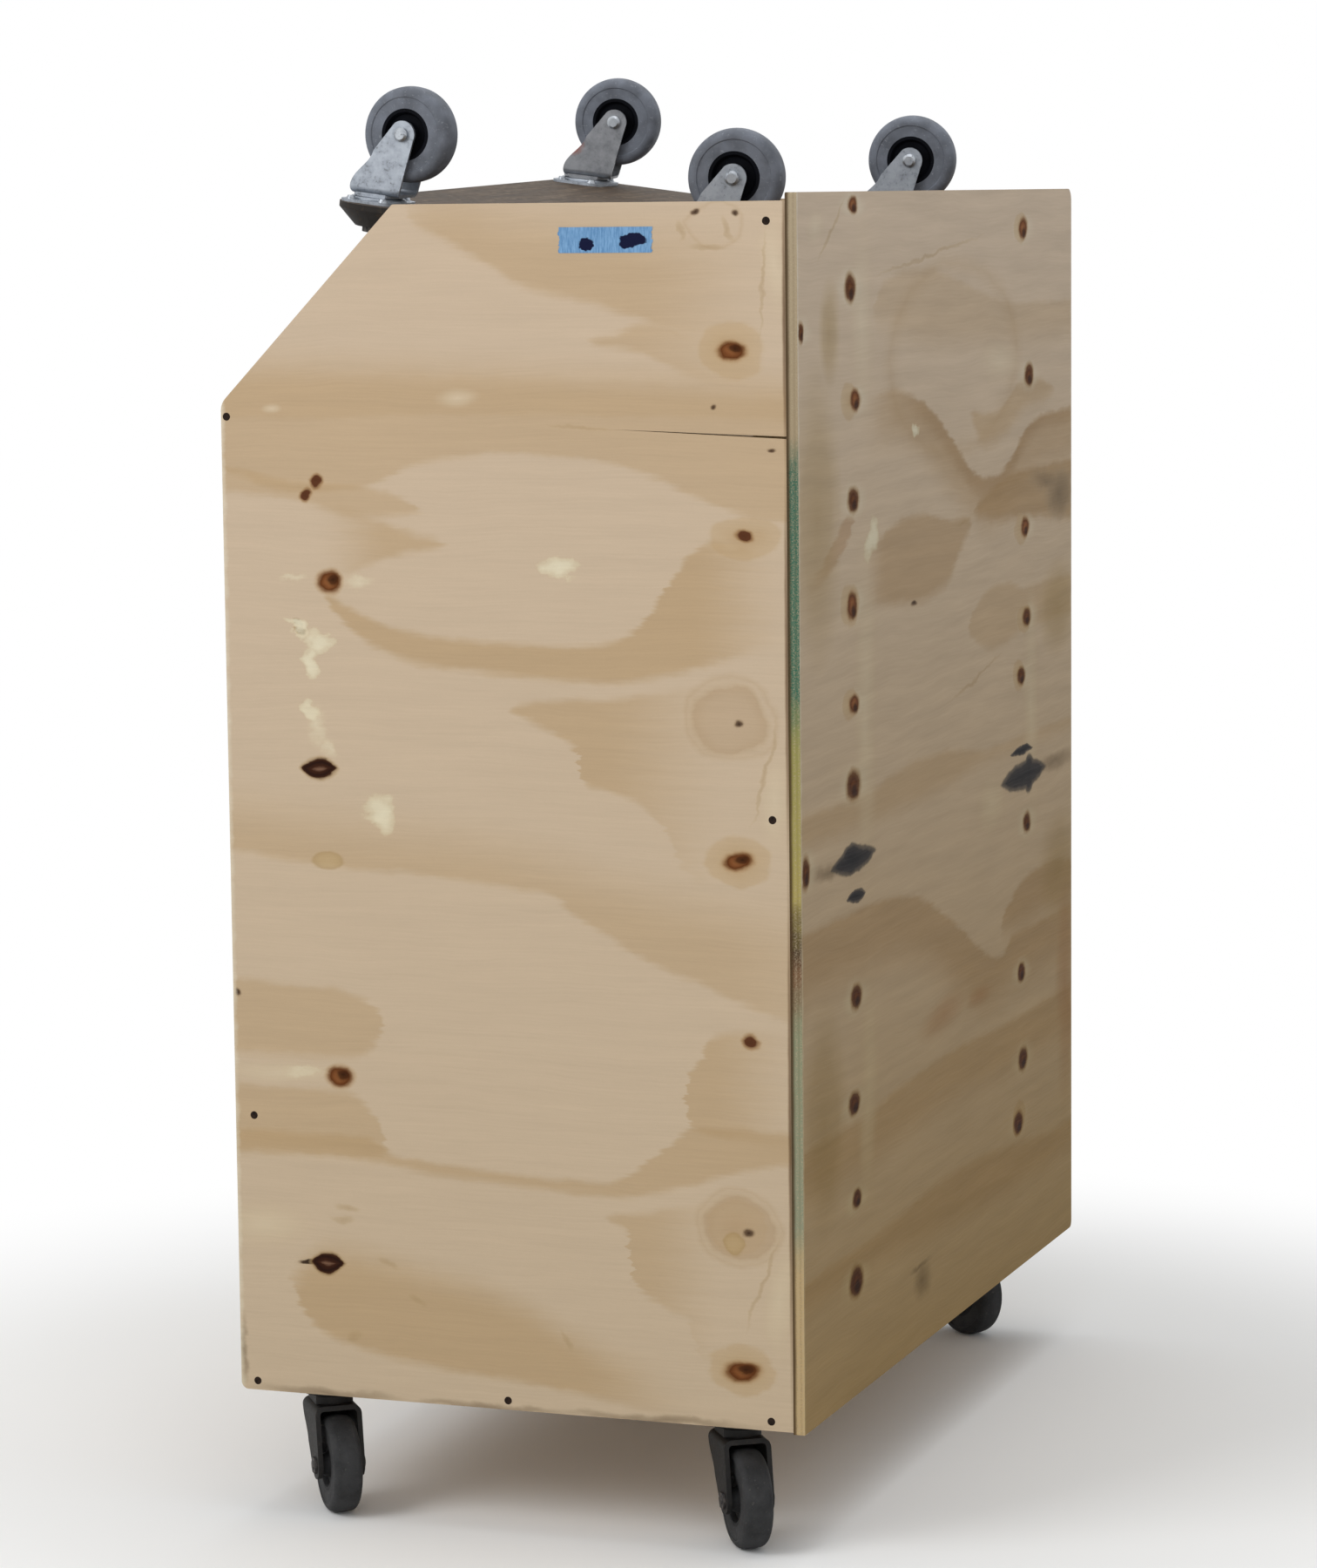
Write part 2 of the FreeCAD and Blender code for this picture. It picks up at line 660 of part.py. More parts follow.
def dolly_frame():
    """Frame of the upturned dolly: origin at the deck's centre, +Z towards its wheels."""
    spot = Vec(DOLLY_SHIFT_X, DOLLY_SHIFT_Y, BOX_TOP - DOLLY_SINK)
    tilt_front = Turn(Vec(1, 0, 0), -DOLLY_TILT_FRONT)
    tilt_side = Turn(Vec(0, 1, 0), DOLLY_TILT_SIDE)
    return Place(spot, tilt_front.multiply(tilt_side))


def dolly_places():
    """Mounting place of each dolly caster, turned over so that it stands up."""
    x = DECK_LENGTH / 2 - DOLLY_INSET_END
    y = DECK_WIDTH / 2 - DOLLY_INSET_SIDE
    spots = {
        "front_right": Vec(x, -y, 0),
        "front_left": Vec(-x, -y, 0),
        "rear_right": Vec(x, y, 0),
        "rear_left": Vec(-x, y, 0),
    }
    over = Turn(Vec(1, 0, 0), 180)
    frame = dolly_frame()
    return {name: frame.multiply(Place(spot, over)) for name, spot in spots.items()}


def dolly_bolts(extra=0.0):
    """Bolts of all the dolly's caster plates."""
    made = []
    for place in dolly_places().values():
        made.extend(placed(bolt, place) for bolt in plate_bolts(extra))
    return made


def swivelled(place, heading):
    """Caster place turned about its own swivel axis."""
    return place.multiply(Place(Vec(0, 0, 0), Turn(Vec(0, 0, 1), heading)))


def build_casters(group, places, headings, caster):
    """Fork, axle, hub and tyre of every caster in a group, with the group's fixed pieces."""
    pieces = {}
    shapes = {"fork": fork(caster), "axle": axle(caster), "hub": hub(caster), "tyre": tyre(caster)}
    for spot, place in places.items():
        turned_place = swivelled(place, headings[spot])
        for kind, shape in shapes.items():
            pieces[group + "_" + spot + "_" + kind] = placed(shape, turned_place)
    plate = caster_plate(caster)
    pin = kingpin(caster)
    pieces[group + "_plates"] = Part.makeCompound([placed(plate, p) for p in places.values()])
    pieces[group + "_kingpins"] = Part.makeCompound([placed(pin, p) for p in places.values()])
    return pieces


def build_dolly_deck():
    """Deck board with bevelled edges, and the pad on the side that lies down in the cart."""
    frame = dolly_frame()
    bevel = DECK_THICK - DECK_EDGE
    small_length = DECK_LENGTH - 2 * bevel
    small_width = DECK_WIDTH - 2 * bevel
    edge = sheet_plate(DECK_LENGTH, DECK_WIDTH, DECK_ROUND, -DECK_EDGE, 0.0)
    upper = flat_outline(DECK_LENGTH, DECK_WIDTH, DECK_ROUND, -DECK_EDGE)
    lower = flat_outline(small_length, small_width, DECK_ROUND - bevel, -DECK_THICK)
    deck = edge.fuse(Part.makeLoft([upper, lower], True, True)).removeSplitter()
    pad_length = small_length - 2 * PAD_INSET
    pad_width = small_width - 2 * PAD_INSET
    pad_round = DECK_ROUND - bevel - PAD_INSET
    pad = sheet_plate(pad_length, pad_width, pad_round, -DECK_THICK - PAD_THICK, -DECK_THICK)
    return {
        "dolly_deck": drill(placed(deck, frame), dolly_bolts(FREE_FIT)),
        "dolly_pad": placed(pad, frame),
    }


def build_rack():
    """Two rails across the cart that carry the dolly, and the cleats under their ends."""
    frame = dolly_frame()
    inside = box(-INNER_X, INNER_X, INNER_FRONT, INNER_BACK, FLOOR_TOP, BOX_TOP + BATTEN)
    top = -(DECK_THICK + PAD_THICK + REST_GAP)
    reach = CART_WIDTH
    pieces = {}
    cleats = []
    for name, y in (("front", RAIL_FRONT_Y), ("rear", RAIL_REAR_Y)):
        rail = box(-reach, reach, y - BATTEN / 2, y + BATTEN / 2, top - BATTEN, top)
        pieces["rack_rail_" + name] = placed(rail, frame).common(inside)
        half = BATTEN / 2 + CLEAT_LEDGE
        shelf = box(-reach, reach, y - half, y + half, top - BATTEN - CLEAT_THICK, top - BATTEN)
        shelf = placed(shelf, frame)
        for side in (1, -1):
            x0 = INNER_X - CLEAT_LENGTH if side > 0 else -INNER_X
            end = box(x0, x0 + CLEAT_LENGTH, INNER_FRONT, INNER_BACK, FLOOR_TOP, BOX_TOP)
            cleats.append(shelf.common(end))
    pieces["rack_cleats"] = Part.makeCompound(cleats)
    return pieces


def build_all():
    """Every piece of the cart and of the dolly, by node name."""
    pieces = build_box()
    pieces.update(build_rack())
    pieces.update(build_casters("base", base_places(), BASE_HEADINGS, BASE_CASTER))
    pieces["base_plate_bolts"] = Part.makeCompound(base_bolts())
    pieces.update(build_dolly_deck())
    pieces.update(build_casters("dolly", dolly_places(), dolly_turns(), DOLLY_CASTER))
    pieces["dolly_plate_bolts"] = Part.makeCompound(dolly_bolts())
    return pieces


def dolly_turns():
    """Dolly headings seen from below, since its casters are turned over."""
    return {name: -heading for name, heading in DOLLY_HEADINGS.items()}


for node, shape in build_all().items():
    shape.exportStep("parts/" + node + ".step")
    print(node, len(shape.Solids), round(shape.Volume / 1000, 1))
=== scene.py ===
import logging
import math
import random
from collections.abc import Callable
from dataclasses import dataclass, replace
from enum import Enum
from functools import partial

import bpy
from bpy.types import Material, Node, NodeSocket, NodeTree
from mathutils import Matrix, Vector


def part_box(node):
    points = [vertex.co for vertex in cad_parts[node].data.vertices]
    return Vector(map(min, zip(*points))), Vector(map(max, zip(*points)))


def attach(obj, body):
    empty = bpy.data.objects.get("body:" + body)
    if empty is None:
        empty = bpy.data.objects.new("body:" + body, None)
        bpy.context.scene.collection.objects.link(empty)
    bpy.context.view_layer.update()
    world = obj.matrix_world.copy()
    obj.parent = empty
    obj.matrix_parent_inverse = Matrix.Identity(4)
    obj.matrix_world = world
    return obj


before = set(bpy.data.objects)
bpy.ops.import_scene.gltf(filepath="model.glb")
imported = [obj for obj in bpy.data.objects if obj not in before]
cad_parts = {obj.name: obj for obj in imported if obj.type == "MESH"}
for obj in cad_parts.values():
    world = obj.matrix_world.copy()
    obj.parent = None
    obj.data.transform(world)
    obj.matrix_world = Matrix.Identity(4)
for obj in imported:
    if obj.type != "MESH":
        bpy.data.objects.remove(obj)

logging.basicConfig(level=logging.INFO, format="%(message)s")
log = logging.getLogger("blanket_cart")

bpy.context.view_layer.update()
MM = 0.001
Adder = Callable[..., Node]
Place = tuple[float, float, float]
Points = tuple[tuple[float, float], ...]
Spots = tuple[tuple[float, ...], ...]

# Panel planes of the box, in metres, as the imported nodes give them.
RIGHT_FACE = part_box("side_panel_right")[1][0]
PANEL_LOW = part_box("side_panel_right")[0][2]

# Wood, rubber and plastic all bend light by about this much, and paper a little less.
SOLID_IOR = 1.5
PAPER_IOR = 1.46


def srgb(code: str, alpha: float = 1.0) -> tuple[float, float, float, float]:
    """Turn an sRGB hex value into linear colour.

    Args:
        code: Six hex digits.
        alpha: How much the colour covers.

    Returns:
        Linear red, green, blue and the alpha.
    """
    parts = [int(code[i : i + 2], 16) / 255 for i in (0, 2, 4)]
    red, green, blue = (c / 12.92 if c <= 0.04045 else ((c + 0.055) / 1.055) ** 2.4 for c in parts)
    return (red, green, blue, float(alpha))


def add_node(tree: NodeTree, kind: str, inputs: dict | None = None, stops: list | None = None,
             points: list | None = None, **settings: object) -> Node:
    """Add a node with its settings and links.

    Args:
        tree: Node tree that takes the node.
        kind: Node type name, without its prefix unless it is a group's input or output.
        inputs: By input name or number, a value, a hex colour, a socket, or a node for its first output in use.
        stops: Colour ramp stops as position, hex colour and, unless it is full, alpha.
        points: Curve points as input and output, both from 0 to 1.
        settings: Properties of the node.

    Returns:
        The new node.
    """
    made = tree.nodes.new(kind if kind.startswith("NodeGroup") else "ShaderNode" + kind)
    for name, value in settings.items():
        setattr(made, name, value)
    if stops:
        ramp = made.color_ramp.elements
        while len(ramp) < len(stops):
            ramp.new(0.5)
        for element, (position, *colour) in zip(ramp, sorted(stops)):
            element.position = position
            element.color = srgb(*colour)
    if points:
        curve = made.mapping.curves[0].points
        while len(curve) < len(points):
            curve.new(0.5, 0.5)
        for knot, spot in zip(curve, sorted(points)):
            knot.location = spot
            knot.handle_type = "AUTO_CLAMPED"
        made.mapping.extend = "HORIZONTAL"
        made.mapping.update()
    for key, value in (inputs or {}).items():
        if isinstance(value, Node):
            value = next(socket for socket in value.outputs if socket.enabled)
        if isinstance(value, NodeSocket):
            tree.links.new(value, made.inputs[key])
        else:
            made.inputs[key].default_value = srgb(value) if isinstance(value, str) else value
    return made


def seen_rays(add: Adder) -> Node:
    """Tell rays that the eye follows, straight, through glass or mirrored, from those that only bring light.

    Args:
        add: Adds a node to the tree.

    Returns:
        Node that gives 1 for a ray that is seen.
    """
    ray = add("LightPath").outputs
    straight = add("Math", {0: ray["Is Camera Ray"], 1: ray["Is Transmission Ray"]}, operation="MAXIMUM")
    return add("Math", {0: straight, 1: ray["Is Glossy Ray"]}, operation="MAXIMUM")


class Facing(Enum):
    """Which axes a board's grain, height and thickness run along, as axis numbers."""

    SIDE = (1, 2, 0)
    BACK = (0, 2, 1)
    FLOOR = (0, 1, 2)
    UPRIGHT = (2, 0, 1)


# Two circles this far either side of a mark's middle cut a lens, and are stretched so that it fills the mark.
LENS_OFFSET = 0.6
LENS_SHARE = (0.8, 0.4, 0.8)
# A half size, in metres, so great that the place through a board's thickness doesn't count.
ALL_THROUGH = 1000.0


class Warp(Enum):
    """How far a mark's outline is pushed about, in metres along and across the grain, and by noise of how
    many cells in a metre along and across it."""

    WIDE = (0.026, 0.012, 4.2, 7.0)
    MIDDLE = (0.012, 0.009, 24.0, 36.0)
    NEAR = (0.005, 0.004, 40.0, 60.0)
    FRAYED = (0.015, 0.004, 14.0, 160.0)
    STRAIGHT = (0.0008, 0.0008, 30, 30)
    JAGGED = (0.016, 0.014, 45.0, 60.0)


class Mark(Enum):
    """Marks in a rotary cut pine veneer: warp, whether the ends are pointed, then radius share, colour and
    cover from the middle outwards."""

    PALE = (Warp.WIDE, False, ((0.0, "D2C0A6", 0.8), (0.5, "CEBBA0", 0.5), (1.0, "C7B196", 0)))
    TAN = (Warp.WIDE, False, ((0.0, "A2895E", 0.6), (0.5, "A68D62", 0.45), (1.0, "B59C74", 0)))
    RUST = (Warp.WIDE, False, ((0.0, "AC8460", 0.6), (0.5, "B08A66", 0.4), (1.0, "B89B78", 0)))
    RED_KNOT = (Warp.NEAR, False, (
        (0.0, "96623A", 1), (0.3, "804E2C", 1), (0.52, "61361A", 1), (0.66, "7E5632", 0.85), (0.82, "AB8860", 0.45),
        (1.0, "C0A684", 0)))
    BARK_KNOT = (Warp.NEAR, False, (
        (0.0, "6E3E14", 1), (0.35, "50290B", 1), (0.6, "643C18", 0.95), (0.78, "967244", 0.55), (1.0, "B0956C", 0)))
    CORE = (Warp.NEAR, False, ((0.0, "2E1608", 0.95), (0.5, "3A1D0B", 0.8), (1.0, "6E4426", 0)))
    GLOW = (Warp.MIDDLE, False, ((0.0, "D8CBB4", 0.6), (0.55, "D4C6AE", 0.45), (1.0, "CDBDA4", 0)))
    DARK_KNOT = (Warp.NEAR, True, (
        (0.0, "7A5A48", 1), (0.2, "3B2014", 1), (0.5, "26130D", 1), (0.66, "3E2315", 1), (0.8, "A0835C", 0.6),
        (1.0, "C4AC8C", 0)))
    SMALL_KNOT = (Warp.NEAR, False, (
        (0.0, "55321F", 1), (0.5, "5C3622", 1), (0.75, "A07C54", 0.7), (1.0, "BFA583", 0)))
    PALE_KNOT = (Warp.NEAR, False, (
        (0.0, "BA9E70", 0.5), (0.5, "B5996A", 0.55), (0.8, "A78A5A", 0.55), (1.0, "B79C75", 0)))
    DISC = (Warp.MIDDLE, False, (
        (0.0, "B99F82", 0.6), (0.6, "B79D7F", 0.6), (0.84, "AE9271", 0.55), (1.0, "BBA27F", 0)))
    HALO = (Warp.MIDDLE, False, (
        (0.0, "B2926A", 0.75), (0.55, "B99C74", 0.55), (0.86, "B99B72", 0.4), (1.0, "C2AA8B", 0)))
    RING = (Warp.MIDDLE, False, ((0.0, "C3AC92", 0), (0.72, "C0A78A", 0), (0.88, "AE926E", 0.26), (1.0, "B99F80", 0)))
    FILLER = (Warp.JAGGED, False, (
        (0.0, "E0D6BC", 0.92), (0.5, "DED3B8", 0.84), (0.85, "D6C9AB", 0.55), (1.0, "CDBB9B", 0)))
    FLECK = (Warp.JAGGED, False, ((0.0, "DBCEB4", 0.7), (0.5, "D7C9AD", 0.5), (1.0, "CBB69A", 0)))
    LINE = (Warp.MIDDLE, False, ((0.0, "A88E6A", 0.5), (0.6, "AF9672", 0.35), (1.0, "BBA27F", 0)))
    # Painted shade in the joint where the panel meets the next board.
    SEAM = (Warp.STRAIGHT, False, ((0.0, "5A4028", 0.85), (0.5, "6E5236", 0.6), (1.0, "A58A67", 0)))
    DARK_LINE = (Warp.NEAR, False, ((0.0, "2A1D14", 1), (0.6, "3A2A1E", 0.95), (1.0, "8F7656", 0)))
    DOT = (Warp.NEAR, False, ((0.0, "3A291D", 1), (0.5, "574030", 0.85), (1.0, "A58A67", 0)))
    SCUFF = (Warp.NEAR, True, ((0.0, "232328", 1), (0.6, "2E2D33", 0.97), (0.85, "4A4646", 0.8), (1.0, "837763", 0)))
    SMUDGE = (Warp.MIDDLE, False, ((0.0, "7F6D58", 0.75), (0.5, "8A7760", 0.5), (1.0, "A2917A", 0)))


def layer_tree(name: str) -> tuple[NodeTree, Adder, NodeSocket, NodeSocket]:
    """Make a node group that takes a place and the colour under a layer and gives the colour over it.

    Args:
        name: Name of the group.

    Returns:
        The group, what adds a node to it, and its sockets with the place and the colour under.
    """
    made = bpy.data.node_groups.new(name, "ShaderNodeTree")
    made.interface.new_socket("Place", in_out="INPUT", socket_type="NodeSocketVector")
    made.interface.new_socket("Under", in_out="INPUT", socket_type="NodeSocketColor")
    made.interface.new_socket("Over", in_out="OUTPUT", socket_type="NodeSocketColor")
    add = partial(add_node, made)
    start = add("NodeGroupInput").outputs
    return made, add, start["Place"], start["Under"]


# The span of board that an outline is drawn over, in metres: along the grain either side of the middle, and up.
OUTLINE_HALF = 0.52
OUTLINE_HIGH = 1.3
# How far beyond a tip, in mm, the outlines of a band cross.
TIP_REACH = 12


@dataclass(frozen=True)
class Band:
    """A growth ring laid bare by the knife: a tan band between two outlines.

    Outlines are points along the grain and up from the panel's foot, in mm. Where both end in the same
    point, the band comes to a tip there. soft_low and soft_high are the mm that the outlines blur over, cover
    is how much of the tan shows, and fade is where along the grain it starts to fade and is gone.
    """

    lower: Points
    upper: Points
    soft_low: float = 8.0
    soft_high: float = 8.0
    cover: float = 0.6
    fade: tuple[float, float] | None = None
    colour: str = "B59872"

    def warp(self) -> Warp:
        """Bands are frayed along the grain."""
        return Warp.FRAYED

    def group(self, name: str) -> NodeTree:
        """Make the node group that lays this band over a colour.

        Args:
            name: Name of the group.

        Returns:
            Group with a place and the colour under the band going in, and the colour coming out.
        """
        made, add, place, under = layer_tree(name)
        spot = add("SeparateXYZ", {0: place}).outputs
        along = add("MapRange", {0: spot[0], 1: -OUTLINE_HALF, 2: OUTLINE_HALF})
        cover: float | Node = self.cover
        for line, other, side, soft in ((self.lower, self.upper, 1, self.soft_low),
                                        (self.upper, self.lower, -1, self.soft_high)):
            points = [((u * MM + OUTLINE_HALF) / (2 * OUTLINE_HALF), v * MM / OUTLINE_HIGH)
                      for u, v in self.closed(line, other, side)]
            outline = add("FloatCurve", {"Value": along}, points=points)
            off = add("Math", {0: outline, 1: -OUTLINE_HIGH, 2: spot[1]}, operation="MULTIPLY_ADD")
            blur = side * soft / 2 * MM
            inside = add("MapRange", {0: off, 1: -blur, 2: blur}, interpolation_type="SMOOTHSTEP")
            cover = add("Math", {0: inside, 1: cover}, operation="MULTIPLY")
        if self.fade:
            left = add("MapRange", {0: spot[0], 1: self.fade[0] * MM, 2: self.fade[1] * MM, 3: 1.0, 4: 0.0},
                       interpolation_type="SMOOTHSTEP")
            cover = add("Math", {0: left, 1: cover}, operation="MULTIPLY")
        over = add("Mix", {0: cover, 6: under, 7: self.colour}, data_type="RGBA")
        add("NodeGroupOutput", {0: over})
        return made

    def closed(self, line: Points, other: Points, side: int) -> list[tuple[float, float]]:
        """Cross an outline over the other beyond a shared tip, so that the band ends there.

        Args:
            line: The outline.
            other: The outline across the band.
            side: 1 for the lower outline, -1 for the upper.

        Returns:
            The outline's points with those beyond the tips.
        """
        over = side * (self.soft_low + self.soft_high)
        points = list(line)
        if line[0] == other[0]:
            points.insert(0, (line[0][0] - TIP_REACH, line[0][1] + over))
        if line[-1] == other[-1]:
            points.append((line[-1][0] + TIP_REACH, line[-1][1] + over))
        return points


@dataclass(frozen=True)
class Layer:
    """Marks of one kind, laid together on a veneer.

    Each spot is a place along the grain and up from the panel's foot, two half sizes, all in mm, and for
    some a turn in degrees. Spots that meet run into one another.
    """

    mark: Mark
    spots: Spots

    def warp(self) -> Warp:
        """How the marks' outlines are pushed about."""
        return self.mark.value[0]

    def group(self, name: str) -> NodeTree:
        """Make the node group that lays these marks over a colour.

        Args:
            name: Name of the group.

        Returns:
            Group with a place and the colour under the marks going in, and the colour coming out.
        """
        _, pointed, stops = self.mark.value
        made, add, place, under = layer_tree(name)
        cover: Node | NodeSocket | None = None
        for u, v, half_u, half_v, *turn in self.spots:
            shape = {1: (u * MM, v * MM, 0.0), 2: (0.0, 0.0, math.radians(sum(turn))),
                     3: (half_u * MM, half_v * MM, ALL_THROUGH)}
            inside = add("Mapping", {0: place, **shape}, vector_type="TEXTURE")
            spot = self.lens(add, inside) if pointed else add(
                "TexGradient", {0: inside}, gradient_type="SPHERICAL").outputs["Fac"]
            cover = spot if cover is None else add("Math", {0: cover, 1: spot}, operation="MAXIMUM")
        top = 1.0 - LENS_OFFSET if pointed else 1.0
        ramp = add("ValToRGB", {0: cover},
                   [(top * (1.0 - share), code, alpha) for share, code, alpha in stops]).outputs
        over = add("Mix", {0: ramp["Alpha"], 6: under, 7: ramp["Color"]}, data_type="RGBA")
        add("NodeGroupOutput", {0: over})
        return made

    def lens(self, add: Adder, inside: Node) -> Node:
        """Cut a lens with its points along the grain, where two offset circles overlap.

        Args:
            add: Adds a node to the group.
            inside: Node that gives the place, in half sizes of the mark.

        Returns:
            Node that falls from the middle of the lens to nothing at its outline.
        """
        lobes = []
        for side in (1, -1):
            moved = add("Mapping", {0: inside, 1: (0.0, side * LENS_OFFSET, 0.0), 3: LENS_SHARE})
            lobes.append(add("TexGradient", {0: moved}, gradient_type="SPHERICAL").outputs["Fac"])
        return add("Math", {0: lobes[0], 1: lobes[1]}, operation="MINIMUM")


def knot_columns(seed: int, u0: float, u1: float, v0: float, v1: float) -> tuple[Layer, ...]:
    """Lay out the columns of knots that a log's whorls of branches leave in a rotary cut sheet.

    Args:
        seed: Fixes the layout.
        u0: Start along the grain.
        u1: End along the grain.
        v0: Start across the grain.
        v1: End across the grain.

    Returns:
        The knots, with the halos round them first.
    """
    pick = random.Random(seed)
    spots: dict[Mark, list] = {mark: [] for mark in (Mark.HALO, Mark.DISC, Mark.RED_KNOT, Mark.BARK_KNOT,
                                                     Mark.SMALL_KNOT)}
    # Whorls stand 390 to 470 mm apart along the grain, and their branches 95 to 190 mm apart across it.
    column = u0 + pick.uniform(60, 130)
    while column < u1:
        level = v0 + pick.uniform(20, 90)
        while level < v1:
            mark = pick.choice((Mark.RED_KNOT, Mark.RED_KNOT, Mark.BARK_KNOT, Mark.SMALL_KNOT, Mark.DISC))
            size = pick.uniform(17, 25) if mark is not Mark.SMALL_KNOT else pick.uniform(9, 13)
            across = column + pick.uniform(-22, 22)
            spots[Mark.HALO].append((across, level, size * 1.8, size * 1.3))
            spots[mark].append((across, level, size, size * pick.uniform(0.7, 0.95)))
            level += pick.uniform(95, 190)
        column += pick.uniform(390, 470)
    return tuple(Layer(mark, tuple(found)) for mark, found in spots.items() if found)


# Knots of the back panel, in two columns: the red ones are grown in, the others have a ring of bark.
BACK_RED = ((330, 1204, 21, 11), (325, 1010, 23, 15), (338, 806, 23, 20), (334, 706, 22, 13), (-300, 1174, 24, 16),
            (-307, 841, 22, 15))
BACK_BARK = ((340, 1122, 24, 20), (333, 911, 24, 17), (338, 625, 30, 21), (332, 409, 24, 18), (340, 301, 26, 16),
             (333, 201, 20, 13), (337, 116, 30, 22), (-324, 1010, 24, 17), (-313, 739, 24, 14), (-290, 674, 22, 13),
             (-313, 505, 21, 16), (-289, 337, 20, 15), (-295, 236, 25, 18), (-275, 166, 25, 18), (494, 557, 16, 22),
             (498, 1083, 12, 14))

# Red knots of the right panel, grown into the wood.
RIGHT_RED = ((238, 1066, 20, 13), (240, 568, 21, 13, 8), (241, 58, 25, 14, 6), (-188, 332, 20, 15),
             (-190, 835, 18, 15, 10))
